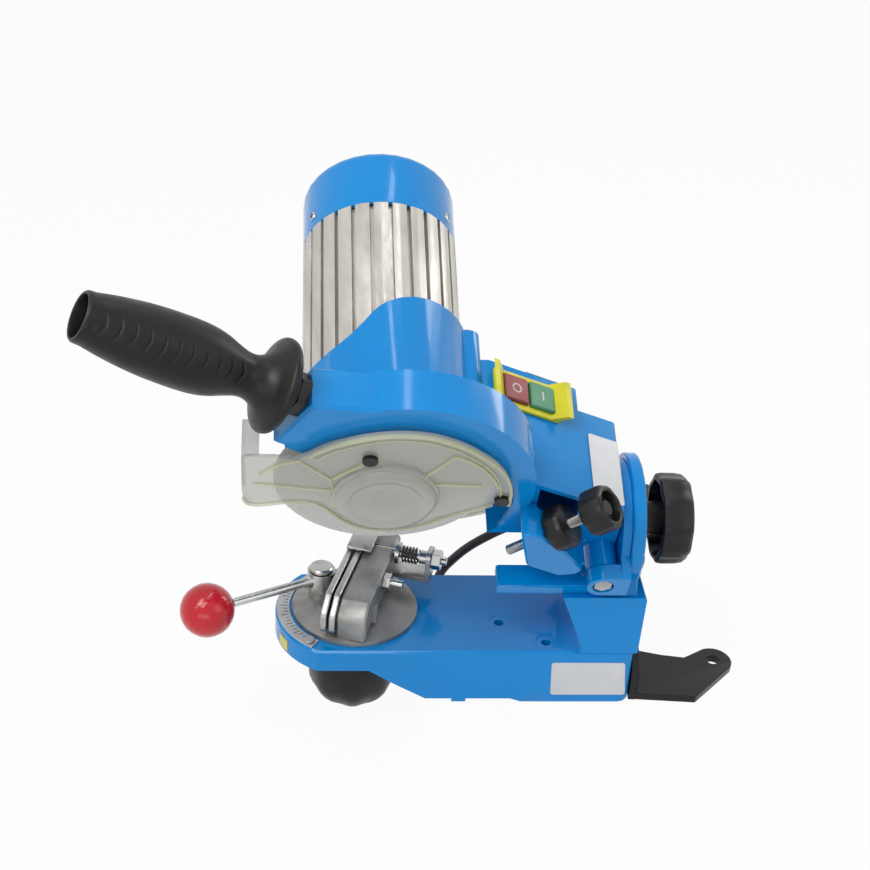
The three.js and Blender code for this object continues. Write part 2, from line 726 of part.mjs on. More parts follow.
function guardBowl() {
  const wall = onBowl(tube(bowlRadius, bowlRadius - bowlWall, bowlNear, bowlBack, 40));
  const back = onBowl(rod(bowlRadius - bury, bowlBack - backPlate, bowlBack, 40));
  const rim = cut(onBowl(rod(bowlRadius - bury, bowlNear, bowlNear + rimThickness, 40)),
    alongY(rod(rimRadius, bowlNear - overrun, bowlNear + 2 * overrun, 36)).translate(rimX, 0, rimH));
  // A point from the bowl's centre: along the handle's axis, and square to it
  const byHandle = (along, rise) => [
    bowlX - along * Math.cos(rad(handleAngle)) + rise * Math.sin(rad(handleAngle)),
    bowlH + along * Math.sin(rad(handleAngle)) + rise * Math.cos(rad(handleAngle)),
  ];
  const brow = bowlRadius - bowlWall;
  const shoulder = cut(side([byHandle(handleSeat, shoulderLow), byHandle(handleSeat, shoulderHigh),
    byHandle(Math.sqrt(bowlRadius ** 2 - shoulderTop ** 2), shoulderTop), byHandle(brow / 2, brow / 2), byHandle(brow / 2, shoulderLow)],
  bowlNear, bowlBack, bowlWall / 2), onBowl(rod(brow + bury, bowlNear - overrun, bowlBack + overrun, 40)));
  const mouth = [[-1.2, 0.71], [-0.69, 0.42], [-0.6, -0.7], [0.4, -0.75], [0.9, -0.45], [0.9, -1.2], [-1.13, -1.2]]
    .map(([x, h]) => [bowlX + x * bowlRadius, bowlH + h * bowlRadius]);
  return cut(join(wall, back, rim, shoulder), side(mouth, bowlNear - overrun, bowlBack + bury));
}

const boxOutline = (inset) => outline([
  [bowlX, boxTopAt(boxCrestX) - inset], [boxCrestX, boxTopAt(boxCrestX) - inset], [boxRear - inset, boxTopAt(boxRear) - inset, 4],
  [boxRear - inset, hingeRadius + inset], [hingeX - hingeRadius, hingeRadius + inset], [boxToeX, boxToeH + inset],
  [boxLeftX, boxLeftH + inset, 4], [bowlX, boxLeftH + inset],
], 4);

function switchHousing() {
  const keepOut = onBowl(rod(bowlRadius - bury, boxNear - overrun, bowlBack - bury, 40));
  const behind = onWheel(rod(collarRadius - bury, bowlBack - overrun, boxDeep + overrun, 36));
  const left = side([[bowlX - overrun, -bowlRadius], [wheelX + boxClearX, -bowlRadius], [wheelX + boxClearX, 2 * bowlRadius],
    [bowlX - overrun, 2 * bowlRadius]], boxNear - overrun, boxDeep + overrun);
  const main = side(boxOutline(0), boxNear, boxFar);
  const deepPart = common(side(boxOutline(0), boxFar - bury, boxDeep),
    side([[bowlX, -bowlRadius], [boxDeepX, -bowlRadius], [boxDeepX, 2 * bowlRadius], [bowlX, 2 * bowlRadius]], boxFar - overrun, boxDeep + overrun));
  return cut(join(main, deepPart), keepOut, behind, left);
}

// The hollow for the switch and its wires, open on the far side
function housingHollow() {
  const low = side(outline([[boxTopX + boxWall, boxTopAt(boxTopX + boxWall) - boxWall], [boxDeepX - boxWall, boxTopAt(boxDeepX - boxWall) - boxWall],
    [boxDeepX - boxWall, hingeRadius + 2 * boxWall], [boxTopX + boxWall, boxLeftH + 2 * boxWall]], 2), bowlNear, boxDeep + overrun);
  return low;
}

// The lock knob's seat on the lug, square to the depth screw
function lugFace() {
  const along = [Math.cos(rad(stopAngle)), Math.sin(rad(stopAngle))];
  const seat = [stopX - along[0] * lugSeatBack, stopH - along[1] * lugSeatBack];
  return [1, -1].map((sign) => [seat[0] - sign * along[1] * lugSeatHalf, seat[1] + sign * along[0] * lugSeatHalf]);
}

// The lug that the depth stop is screwed through
function stopLug() {
  return side(outline([
    ...lugFace(), [lugRightX, stopToeH + hingePin / 2], [stopToeX, stopToeH, 6], [lugToeX, boxLeftH, 6], [lugLeftX, lugTopH, 5],
  ], 4), lugNear, boxNear + bury, 1.5);
}

const onHandle = (item) => asGeometry(item).translate(handleOffset, 0, 0).rotateY(-Math.PI / 2 + rad(handleAngle)).translate(bowlX, handleY, bowlH);
const onStop = (item) => asGeometry(item).rotateY(Math.PI / 2 - rad(stopAngle)).translate(stopX, stopY, stopH);

const hingeWeb = side([[hingeX - hingeRadius, 0], [boxRear, 0], [boxRear, hingeRadius + bury],
  [hingeX - hingeRadius, hingeRadius + bury]], boxNear, lugFar);
const bearingSeat = rod(bearingOuter + gap, bowlBack - backPlate - overrun, motorStart + overrun, 28);
const armBody = cut(
  join(guardBowl(), motorCollar(), switchHousing(), stopLug(), hingeWeb,
    onHinge(rod(hingeRadius, earNear + earThickness + gap, lugFar, 28)),
    onWheel(rod(hubRadius, bowlBack - bury, motorStart - gap, 28))),
  housingHollow(), onHinge(rod(hingePin / 2 + running, earNear, lugFar + overrun, 20)),
  onHinge(tube(hingeRadius * 2, hingeRadius + gap, earNear, earNear + earThickness + 2 * gap, 28)),
  onHinge(rod(hingeRadius + gap, earNear, earNear + earThickness + 2 * gap, 28)),
  onWheel(bearingSeat),
  onHandle(rod(handleStud + gap, bowlRadius - bowlWall - overrun, handleSeat + overrun, 16)),
  onStop(rod(stopRodRadius + gap, -stopLength, stopLength, 16)),
  switchPocket(),
);
piece('arm_casting', armBody, 'blue', head);

// Switch: its pocket in the sloping top of the housing, a frame with flared wedges and two buttons.
// In the switch group x runs down the slope, y along the wheel axis and z out of the slope.
const switchGroup = new THREE.Group();
const slope = Math.atan(boxTopSlope);
switchGroup.position.set(switchX, switchY, boxTopAt(switchX));
switchGroup.rotation.y = -slope;
head.add(switchGroup);

function switchPocket() {
  const pocket = plan(oblong(frameLength - 2 * frameLip, frameWidth - 2 * frameLip, 0), -frameDepth - overrun, overrun);
  return pocket.rotateY(-Math.atan(boxTopSlope)).translate(switchX, switchY, boxTopAt(switchX));
}

function switchFrame() {
  const lip = plan(oblong(frameLength, frameWidth, 0, 2), gap, frameRise, 0.6);
  const sleeve = plan(oblong(frameLength - 2 * frameLip - 2 * gap, frameWidth - 2 * frameLip - 2 * gap, 0), -frameDepth, gap + bury);
  const wedge = (sign) => side(outline([[sign * frameLength / 2 - sign * wedgeFoot, gap], [sign * (frameLength / 2 + wedgeFlare), frameRise + wedgeRise],
    [sign * (frameLength / 2 + wedgeFlare - wedgeFoot), frameRise + wedgeRise], [sign * frameLength / 2 - 2 * sign * wedgeFoot, frameRise - bury]], 1),
  -frameWidth / 2, frameWidth / 2);
  const wells = [-1, 1].map((sign) => plan(oblong(buttonLength + 2 * buttonPlay, buttonWidth + 2 * buttonPlay, sign * buttonPitch / 2),
    -frameDepth - overrun, frameRise + overrun));
  return cut(join(lip, sleeve, wedge(1), wedge(-1)), wells);
}
piece('switch_frame', switchFrame(), 'yellow', switchGroup);
const button = (sign) => plan(oblong(buttonLength, buttonWidth, sign * buttonPitch / 2), -buttonDepth, buttonRise, 0.8);
piece('stop_button', button(-1), 'redButton', switchGroup);
piece('start_button', button(1), 'greenButton', switchGroup);

// Bare rating plate on the slope behind the switch
const platePlace = (x) => [x - plateWidth / 2, plateY - plateLength / 2];
const [plateLeft, plateBottom] = platePlace(plateX);
const ratingPlate = plan(outline([[plateLeft, plateBottom, 2], [plateLeft + plateWidth, plateBottom, 2],
  [plateLeft + plateWidth, plateBottom + plateLength, 2], [plateLeft, plateBottom + plateLength, 2]], 2), gap, gap + plateThickness);
piece('rating_plate', ratingPlate, 'plate', switchGroup);

// Cover of the housing's open far side
const coverPlate = cut(
  side([[boxTopX, boxTopAt(boxTopX) - boxWall / 2], [boxDeepX - bury, boxTopAt(boxDeepX) - boxWall / 2], [boxDeepX - bury, hingeRadius + boxWall],
    [boxTopX, boxLeftH + boxWall]], boxDeep + gap, boxDeep + gap + coverThickness));
piece('housing_cover', coverPlate, 'black', head);

// Motor: fluted tube, cap, stator, bearings
function flutedOutline() {
  const points = [];
  const half = fluteWidth / 2 / motorRadius;
  for (let k = 0; k < flutes; k += 1) {
    const middle = ((k + fluteTurnShare) / flutes) * 2 * Math.PI;
    const next = ((k + 1 + fluteTurnShare) / flutes) * 2 * Math.PI;
    const floor = motorRadius - fluteDepth;
    points.push([floor * Math.cos(middle - half), floor * Math.sin(middle - half)]);
    points.push([floor * Math.cos(middle + half), floor * Math.sin(middle + half)]);
    points.push([motorRadius * Math.cos(middle + half), motorRadius * Math.sin(middle + half)]);
    points.push([motorRadius * Math.cos((middle + next) / 2), motorRadius * Math.sin((middle + next) / 2)]);
    points.push([motorRadius * Math.cos(next - half), motorRadius * Math.sin(next - half)]);
  }
  return points;
}
piece('motor_tube', onWheel(plan(flutedOutline(), motorStart, motorEnd, 0, [circle(motorBore, 40)])), 'alloy', head);
const capProfile = [
  [0, capEnd], [motorRadius - capEdge, capEnd - capDome], ...arc(motorRadius - capEdge, capEnd - capEdge - capDome, capEdge, 75, 0, 5),
  [motorRadius, motorEnd + gap], [motorRadius - capWall, motorEnd + gap], [motorRadius - capWall, capEnd - capEdge - capDome],
  [motorRadius - capEdge, capEnd - capWall - capDome], [bearingOuter + capWall, capEnd - capWall - capDome],
  [bearingOuter + capWall, rearBearing], [bearingOuter + gap, rearBearing], [bearingOuter + gap, capEnd - capWall - capDome],
  [0, capEnd - capWall - capDome],
];
piece('motor_cap', onWheel(turned(capProfile, 32)), 'blue', head);
piece('stator', onWheel(tube(motorBore - gap, statorBore, statorStart, statorEnd, 32)), 'darkSteel', head);
piece('front_bearing', onWheel(tube(bearingOuter, spindle / 2 + gap, bowlBack - backPlate, bowlBack - backPlate + bearingWidth, 24)), 'steel', head);
piece('rear_bearing', onWheel(tube(bearingOuter, spindle / 2 + gap, rearBearing, rearBearing + bearingWidth, 24)), 'steel', head);

// Spinning set
const shoulder = wheelNear + wheelThickness + gap;
piece('rotor_shaft', onWheel(turned([
  [0, spindleTip], [spindle / 2, spindleTip], [spindle / 2, shoulder], [flangeRadius, shoulder], [flangeRadius, shoulder + flangeThickness],
  [bearingOuter / 2, shoulder + flangeThickness], [spindle / 2, shoulder + flangeThickness + bury], [spindle / 2, statorStart],
  [statorBore - running, statorStart + overrun], [statorBore - running, statorEnd - overrun], [spindle / 2, statorEnd],
  [spindle / 2, rearBearing + bearingWidth], [0, rearBearing + bearingWidth]], 20)), 'steel', head);
const wheelFar = wheelNear + wheelThickness;
piece('grinding_wheel', onWheel(turned([
  [spindle / 2 + gap, wheelNear], [wheelRadius - wheelRound, wheelNear], [wheelRadius, wheelNear + wheelRound], [wheelRadius, wheelFar - wheelRound],
  [wheelRadius - wheelRound, wheelFar], [spindle / 2 + gap, wheelFar], [spindle / 2 + gap, wheelNear]], 48)), 'stone', head);
piece('wheel_flange', onWheel(tube(flangeRadius, spindle / 2 + gap, wheelNear - gap - flangeThickness, wheelNear - gap, 32)), 'steel', head);
const nutFar = wheelNear - 2 * gap - flangeThickness;
piece('wheel_nut', onWheel(cut(hexagon(wheelNutFlats, nutFar - wheelNutHeight, nutFar),
  rod(spindle / 2 + gap, nutFar - wheelNutHeight - overrun, nutFar + overrun, 20))), 'steel', head);

// Clear cover over the wheel, with a domed boss over the nut and a spout to the left
const coverFar = bowlNear - gap;
const coverNear = coverFar - coverThickness;
function clearCover() {
  const rightArc = arc(rimX, rimH, rimRadius - gap + rimLap, 118, -5, 20);
  const edge = coverShares.map(([x, h]) => [wheelX + x * wheelRadius, wheelH + h * wheelRadius]);
  const boss = turned([[bossRadius, coverFar - bury], [bossRadius + bossFlare, coverFar - bury], [bossRadius, bossNear + bossRound],
    [bossRadius - bossRound, bossNear], [0, bossNear], [0, bossNear + coverThickness], [bossRadius - coverThickness, bossNear + coverThickness],
    [bossRadius - coverThickness / 2, coverFar - bury], [bossRadius, coverFar - bury]], 36);
  const sheet = side([...rightArc, ...edge.reverse()], coverNear, coverFar);
  const hole = onWheel(rod(bossRadius - coverThickness / 2, coverNear - overrun, coverFar + overrun, 36));
  const spoutLeft = wheelX + coverShares[0][0] * wheelRadius;
  const spoutTop = wheelH + coverShares[0][1] * wheelRadius;
  const spoutLow = wheelH + coverShares[1][1] * wheelRadius;
  const wall = side([[spoutLeft, spoutLow], [spoutLeft + coverThickness, spoutLow], [spoutLeft + coverThickness, spoutTop - coverThickness],
    [spoutRight, spoutTop - coverThickness], [spoutRight, spoutTop], [spoutLeft, spoutTop]], coverNear, spoutFar);
  return join(cut(sheet, hole), onWheel(boss), wall);
}
piece('clear_cover', cut(clearCover(), coverScrews.map(([x, h]) => alongY(rod(coverScrew / 2 + gap, coverNear - overrun, coverFar + overrun, 14))
  .translate(x, 0, h))), 'clear', head);
coverScrews.forEach(([x, h], i) => {
  const screw = turned([[0, coverNear - gap - coverScrewHead], [coverScrew, coverNear - gap - coverScrewHead], [coverScrew, coverNear - gap],
    [coverScrew / 2, coverNear - gap], [coverScrew / 2, coverFar], [0, coverFar]], 16);
  piece(`cover_screw_${i + 1}`, alongY(screw).translate(x, 0, h), 'black', head);
});

// Second clear guard, behind the wheel on the far side
const farGuard = side(farGuardShares.map(([x, h]) => [wheelX + x * wheelRadius, wheelH + h * wheelRadius]),
  bowlBack + gap, bowlBack + gap + coverThickness);
piece('rear_clear_guard', cut(farGuard, onWheel(rod(collarRadius + gap, -overrun, 2 * overrun, 48)),
  side(boxOutline(-gap), -overrun, 2 * overrun)), 'clear', head);

// Side handle and its collar nut, on a stud along its own axis
const handleNutTop = handleSeat + gap + handleNutHeight;
piece('handle_nut', onHandle(cut(hexagon(handleNutFlats, handleSeat + gap, handleNutTop), rod(handleStud + gap, handleSeat, handleNutTop + overrun, 20))),
  'black', head);
function sideHandle() {
  const start = handleNutTop + gap;
  const profile = [[handleStud + gap, start], [handleRoot, start], [handleRoot + 2, start + 2], [handleFlange - 2, start + handleNeck + 3],
    [handleFlange, start + handleNeck + 5], [handleFlange - 1, start + handleNeck + 8], [gripThick, start + handleNeck + 13]];
  const gripStart = start + handleNeck + 18;
  for (let k = 0; k <= gripRibs; k += 1) {
    const along = gripStart + ((handleLength - 22) * k) / gripRibs;
    const radius = THREE.MathUtils.lerp(gripThin, gripThick, gripShares[k]);
    profile.push([radius, along], [radius, along + gripRibWidth], [radius - gripRibDepth, along + gripRibWidth + 1]);
  }
  const tip = gripStart + handleLength - 10;
  profile.push([gripEnd - 1, tip - 2], [gripEnd + 1, tip], [gripEnd, tip + 3], [gripHollow, tip + 3], [gripHollow - 1, tip - gripHollowDepth],
    [handleStud + gap, tip - gripHollowDepth], [handleStud + gap, start]);
  return onHandle(turned(profile, 16));
}
piece('side_handle', sideHandle(), 'black', head);
piece('handle_stud', onHandle(turned([[0, bowlRadius - bowlWall + gap], [handleStud, bowlRadius - bowlWall + gap], [handleStud, handleNutTop + handleNeck],
  [0, handleNutTop + handleNeck]], 16)), 'steel', head);

// Depth stop: threaded rod with its end knob, and the lock knob against the lug
const knobBody = (radius, lobes, length, bore) => cut(plan(lobed(radius, lobes, radius * knobScallopShare, 4), 0, length, 1.5),
  rod(bore, -overrun, length + overrun, 16));
piece('depth_screw', onStop(join(rod(stopRodRadius, -stopTip, stopEnd - 4, 16),
  plan(lobed(stopKnobRadius, 6, stopKnobRadius * knobScallopShare, 4), stopEnd - stopKnobLength, stopEnd, 1.5))), 'black', head);
piece('depth_lock_knob', onStop(knobBody(stopKnobRadius, 6, stopLockLength, stopRodRadius + running).translate(0, 0, -stopLockLength / 2)), 'black', head);

// Vise group: x runs across the jaws, y along them
const vise = new THREE.Group();
vise.position.set(viseX, viseY, 0);
vise.rotation.z = -rad(viseAngle);
sharpener.add(vise);

// The stud is pressed into the turntable and turns with it; the clamp's pin stands on it too
function turntable() {
  const body = turned([
    [0, viseKnobLow + 2 * knobWall], [viseStud, viseKnobLow + 2 * knobWall], [viseStud, shelfZ + gap], [turntableRadius, shelfZ + gap],
    [turntableRadius, shelfZ + gap + turntableRim], [turntableHub + turntableRim, turntableTop], [0, turntableTop]], 48);
  const boss = rod(clampHub - 1, shelfZ + turntableRim, clampHubLow - gap, 24).translate(clampX, clampV, 0);
  const pin = rod(clampPin, shelfZ + turntableRim, clampHubHigh + gap, 16).translate(clampX, clampV, 0);
  return join(body, boss, pin);
}
piece('vise_turntable', turntable(), 'castAlloy', vise);

const blockLow = turntableTop + gap;
function jawBlock() {
  const profile = outline([
    [jawNear, shelfZ + turntableRim + 3 * gap + bury], [jawNear - jawNose / 3, jawTop - jawNose, 5], [jawNear + jawNose, jawTop, 4], [jawFar, jawTop, 3],
    [jawFar, jawTop - 2 * jawNose], [turntableHub + turntableRim, blockLow], [-turntableHub - turntableRim, blockLow],
    [jawNear + jawFootWall, blockLow], [jawNear + jawFootWall, shelfZ + turntableRim + 3 * gap + bury + jawNose / 2],
  ], 3);
  const ribs = [-0.45, 0.3].map((share) => front([[share * jawFar, blockLow], [share * jawFar + jawFootWall / 2, blockLow],
    [share * jawFar + jawFootWall / 2, jawTop - jawNose], [share * jawFar, jawTop - jawNose]], jawRight - 1.5 - bury, jawRight + 3));
  const body = front(profile, jawLeft, jawRight, 1.5);
  const bore = alongX(rod(adjusterRod + gap, jawLeft - overrun, jawRight + overrun, 16)).translate(0, adjusterV, adjusterZ);
  return cut(join(body, ...ribs), bore);
}
const onAdjuster = (item) => alongX(item).translate(0, adjusterV, adjusterZ);
piece('jaw_block', jawBlock(), 'castAlloy', vise);

// Two plates that hold the chain; the left one is pushed by the clamp
const plateProfile = outline([
  [jawNear - jawNose / 2, shelfZ + jawNose, 4], [jawNear - jawNose / 2, jawTop - jawNose, 6], [jawNear + jawNose, jawTop + plateRise, 5],
  [jawFar, jawTop + plateRise, 5], [jawFar, plateLow, 5], [jawNear + 2 * jawNose, plateLow, 6], [jawNear + jawNose, shelfZ + jawNose, 3],
], 3);
piece('jaw_plate_fixed', front(plateProfile, jawLeft - gap - jawPlate, jawLeft - gap, 0.8), 'steel', vise);
const movingRight = jawLeft - gap - jawPlate - jawGap;
piece('jaw_plate_moving', front(plateProfile, movingRight - jawPlate, movingRight, 0.8), 'steel', vise);

// Clamp: a cam hub on its pin, held by a round bolt, with a lever and ball
const clamp = new THREE.Group();
clamp.position.set(clampX, clampV, 0);
clamp.rotation.z = rad(leverTurn);
vise.add(clamp);
const leverZ = (clampHubLow + clampHubHigh) / 2;
const leverTilt = Math.atan(leverRise / leverLength);
const onLever = (item) => asGeometry(item).rotateY(Math.PI / 2 - leverTilt).translate(0, 0, leverZ);
piece('clamp_lever', join(tube(clampHub, clampPin + gap, clampHubLow, clampHubHigh, 28),
  onLever(rod(leverRod, clampHub - 1, leverLength - ballRadius - gap, 16)),
  onLever(turned([[0, clampHub - 1], [leverRod * 1.6, clampHub - 1], [leverRod, clampHub + 2 * leverRod], [0, clampHub + 2 * leverRod]], 16))), 'steel', clamp);
piece('clamp_bolt', turned([[0, clampHubHigh + 2 * gap], [clampBolt, clampHubHigh + 2 * gap],
  [clampBolt, clampHubHigh + clampBoltHeight - 1], [clampBolt - 1.5, clampHubHigh + clampBoltHeight], [0, clampHubHigh + clampBoltHeight]], 24), 'steel', clamp);
piece('lever_ball', onLever(new THREE.SphereGeometry(ballRadius, 20, 12).rotateX(Math.PI / 2).translate(0, 0, leverLength)), 'red', clamp);

// Chain stop: bracket on the block, adjusting screw with its ring, spring and nut, and the pawl over the jaws
const bracketFoot = front(outline([[adjusterV - stopBracketHalf, stopBracketLow], [adjusterV + stopBracketHalf, stopBracketLow],
  [adjusterV + stopBracketHalf, stopBracketLow + stopBracketThickness], [adjusterV - stopBracketHalf, stopBracketLow + stopBracketThickness]], 1),
jawRight + gap, stopBracketX + bury);
const bracketUpright = front(outline([[adjusterV - stopBracketHalf, stopBracketLow], [adjusterV + stopBracketHalf, stopBracketLow],
  [adjusterV + stopBracketHalf, stopBracketTop, 5], [adjusterV - stopBracketHalf, stopBracketTop, 5]], 4), stopBracketX, stopBracketX + stopBracketThickness);
piece('stop_bracket', cut(join(bracketFoot, bracketUpright), onAdjuster(rod(adjusterRod + gap, jawRight, stopBracketX + 2 * overrun, 16))), 'steel', vise);
piece('adjuster_screw', onAdjuster(join(rod(adjusterRod, jawLeft + 1, adjusterEnd, 16),
  rod(ringRadius, coilStart - gap - ringWidth, coilStart - gap, 24),
  rod(adjusterRod * 1.7, coilEnd + gap, stopBracketX - gap, 20),
  hexagon(adjusterNutFlats, stopBracketX + stopBracketThickness + gap, stopBracketX + stopBracketThickness + gap + 6.5))), 'steel', vise);
const adjusterCoil = spiral(coilRadius, coilStart + coilWire / 2 + gap, coilEnd - coilWire / 2 - gap, coilCurls, coilWire);
piece('adjuster_spring', onAdjuster(woundTube(adjusterCoil, 5, coilWire / 2)), 'black', vise);
piece('block_stud', alongX(join(rod(3, jawRight + gap, studEnd, 16), hexagon(11, jawRight + gap, jawRight + gap + 5))).translate(0, studV, studZ), 'steel', vise);
const pawlZ = jawTop + plateRise + gap;
piece('chain_stop', front(outline([[pawlV - pawlLength, pawlZ, 1], [pawlV - pawlLength, pawlZ + pawlThickness, 1], [pawlV, pawlZ + pawlThickness, 2],
  [pawlV + pawlThickness, pawlZ, 2]], 2), movingRight - jawPlate, jawLeft + pawlWidth), 'steel', vise);

// Lock knob under the vise, on the stud
piece('vise_lock_knob', cut(join(
  plan(lobed(viseKnobRadius, 7, viseKnobRadius * knobScallopShare, 4), viseKnobLow, viseKnobTop, 4),
  rod(viseStud + knobWall, viseKnobTop - 1, noseBottom - gap, 24)),
rod(viseStud + gap, viseKnobLow + 2 * knobWall - gap, noseBottom + overrun, 20)), 'black', vise);

// Scale plate on the nose, with its screw
const scaleMid = (scaleInner + scaleOuter) / 2;
const scaleScrewTurn = rad(scaleTo - 6);
const scaleScrewAt = [scaleMid * Math.cos(scaleScrewTurn), scaleMid * Math.sin(scaleScrewTurn)];
piece('scale_plate', cut(plan([...arc(0, 0, scaleOuter, scaleFrom, scaleTo, 16), ...arc(0, 0, scaleInner, scaleTo, scaleFrom, 16)],
  shelfZ + gap, shelfZ + gap + scaleThickness), rod(scaleScrew + gap, shelfZ, shelfZ + overrun, 12).translate(...scaleScrewAt, 0))
  .translate(viseX, viseY, 0), 'plate', sharpener);
piece('scale_screw', join(rod(scaleScrew, shelfZ + gap, shelfZ + gap + scaleThickness, 12),
  rod(scaleScrew * 1.6, shelfZ + 2 * gap + scaleThickness - 0.3, shelfZ + 3 * gap + 2 * scaleThickness, 12)).translate([...scaleScrewAt, 0])
  .translate([viseX, viseY, gap]), 'steel', sharpener);

// Tilt lock knob at the rear, a lobed cup on the stud, and its washer
const knobLip = plan(lobed(tiltKnobRadius, 8, tiltKnobRadius * knobScallopShare / 2, 4), tiltKnobNear, knobOuter, 2);
const knobCup = rod(tiltKnobRadius - knobWall - 1, tiltKnobNear - overrun, knobOuter - knobWeb, 40);
const knobHub = rod(tiltBore, uprightBack + 2 * gap + washerThickness, knobOuter - knobWeb + bury, 24);
const knobBore = rod(tiltBore / 2, uprightBack, knobOuter - knobWeb + gap, 20);
piece('tilt_lock_knob', alongX(cut(join(cut(knobLip, knobCup), knobHub), knobBore)), 'black', head);
piece('tilt_washer', alongX(tube(tiltBore + 1, tiltBore / 2, uprightBack + gap, uprightBack + gap + washerThickness, 24)), 'steel', head);

// Bent bracket screwed to the rear wall
function rearBracket() {
  const start = baseRear + gap;
  const width = bracketFar - bracketNear;
  const run = bracketEnd - start;
  const eye = arc(bracketHoleX, bracketHoleY, bracketEye, -35, 110, 9);
  const foot = plan([[start, bracketNear], [start + run * 0.58, bracketNear - width * 0.08], ...eye,
    [start + run * 0.58, bracketFar - width * 0.18], [start + run * 0.38, bracketFar - width * 0.12],
    [start + run * 0.14, bracketFar], [start, bracketFar]], 0, bracketSteel, 0.6);
  const tab = front(outline([[bracketNear, 0], [bracketFar, 0], [bracketFar, bracketHeight, 20], [bracketNear, bracketHeight, 20]], 5),
    start, start + bracketSteel, 0.6);
  const screws = [-0.25, 0.25].map((share) => alongX(rod(bracketHole / 2 + gap, start - overrun, start + bracketSteel + overrun, 14))
    .translate(0, (bracketNear + bracketFar) / 2 + share * width, bracketHeight * 0.6));
  return cut(join(foot, tab), rod(bracketHole, -overrun, bracketSteel + overrun, 20).translate(bracketHoleX, bracketHoleY, 0), screws);
}
piece('rear_bracket', rearBracket(), 'darkSteel', sharpener);

// Strain relief on the far side of the column
const relief = turned([[0, 0], [reliefThick, 0], [reliefThick, 4], [reliefThin, reliefLength], [0, reliefLength]], 20)
  .rotateX(-Math.PI / 2).translate(reliefX, baseHalf + gap, reliefZ);
piece('cord_relief', relief, 'black', sharpener);

// Mains cord: a free run from the strain relief, a coil in two layers, a short tail and the plug
const reliefEnd = [reliefX, baseHalf + gap + reliefLength, reliefZ];
const coilStartAt = [coilX, coilY - cordCoilRadius, cordFloor];
const coilEndAt = [coilX + cordCoilRadius, coilY, cordFloor + cordRise];
const cordDiameter = 2 * cordRadius;
const shifted = (point, dx, dy, dz) => [point[0] + dx, point[1] + dy, point[2] + dz];

// A round tube along chosen points
function cordTube(points, steps) {
  const path = new THREE.CatmullRomCurve3(points.map((p) => new THREE.Vector3(...p)), false, 'centripetal');
  const shape = new THREE.Shape(vectors(circle(cordRadius, 10)));
  const geometry = new THREE.ExtrudeGeometry(shape, { steps, extrudePath: path, bevelEnabled: false });
  return { geometry, length: path.getLength() };
}
const run = cordTube([shifted(reliefEnd, 0, gap, 0), ...cordPoints, shifted(coilStartAt, -cordDiameter - gap, 0, 0)], 26);
piece('cord_run', run.geometry, 'black', sharpener);

function coilPoints() {
  const half = cordCoilTurns / 2;
  const count = Math.round(cordCoilTurns * 24);
  const climb = 0.25;
  const loops = Array.from({ length: count + 1 }, (_, i) => {
    const turn = (i / count) * cordCoilTurns;
    const inward = turn <= half;
    const radius = cordCoilRadius - cordPitch * (inward ? turn : cordCoilTurns - turn);
    const up = THREE.MathUtils.clamp((turn - half + climb) / (2 * climb), 0, 1);
    const angle = rad(-90) + turn * 2 * Math.PI;
    return [coilX + radius * Math.cos(angle), coilY + radius * Math.sin(angle), cordFloor + cordRise * up];
  });
  return [shifted(coilStartAt, -cordDiameter, 0, 0), ...loops, shifted(coilEndAt, 0, cordDiameter, 0)];
}
const coil = coilPoints();
piece('cord_coil', woundTube(coil, 6, cordRadius), 'black', sharpener);
const tail = cordTube([shifted(coilEndAt, 0, cordDiameter + gap, 0), ...tailPoints], 6);
piece('cord_tail', tail.geometry, 'black', sharpener);

const plugEnd = tailPoints[tailPoints.length - 1];
const plugBody = turned([[0, 0], [plugBack, 0], [plugRadius, plugLength * 0.45], [plugRadius, plugLength], [0, plugLength]], 20);
const pins = [-1, 1].map((sign) => rod(plugPin, plugLength - bury, plugLength + plugPinLength, 10).translate(sign * plugPinPitch / 1.3, 0, 0));
piece('plug', geometryOf(join(plugBody, ...pins)).rotateX(-Math.PI / 2).rotateZ(-0.35)
  .translate(plugEnd[0], plugEnd[1] + gap, plugEnd[2]), 'black', sharpener);

// The least gap between a wound tube's own turns, measured on its points
function leastGap(points, radius) {
  let least = Infinity;
  let along = 0;
  const places = points.map((p, i) => {
    if (i) along += Math.hypot(p[0] - points[i - 1][0], p[1] - points[i - 1][1], p[2] - points[i - 1][2]);
    return along;
  });
  points.forEach((p, i) => points.slice(i + 1).forEach((q, j) => {
    if (places[i + 1 + j] - places[i] < 6 * radius) return;
    least = Math.min(least, Math.hypot(p[0] - q[0], p[1] - q[1], p[2] - q[2]) - 2 * radius);
  }));
  return least;
}
const wound = { cord: [coil, cordRadius], adjusterSpring: [adjusterCoil, coilWire / 2], returnSpring: [returnCoil, springWire / 2] };
Object.entries(wound).forEach(([name, [points, radius]]) => {
  console.log(`${name}: least gap between turns ${leastGap(points, radius).toFixed(2)} mm`);
});

export default sharpener;
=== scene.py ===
import json
import math
import bmesh
import bpy
from mathutils import Matrix, Vector


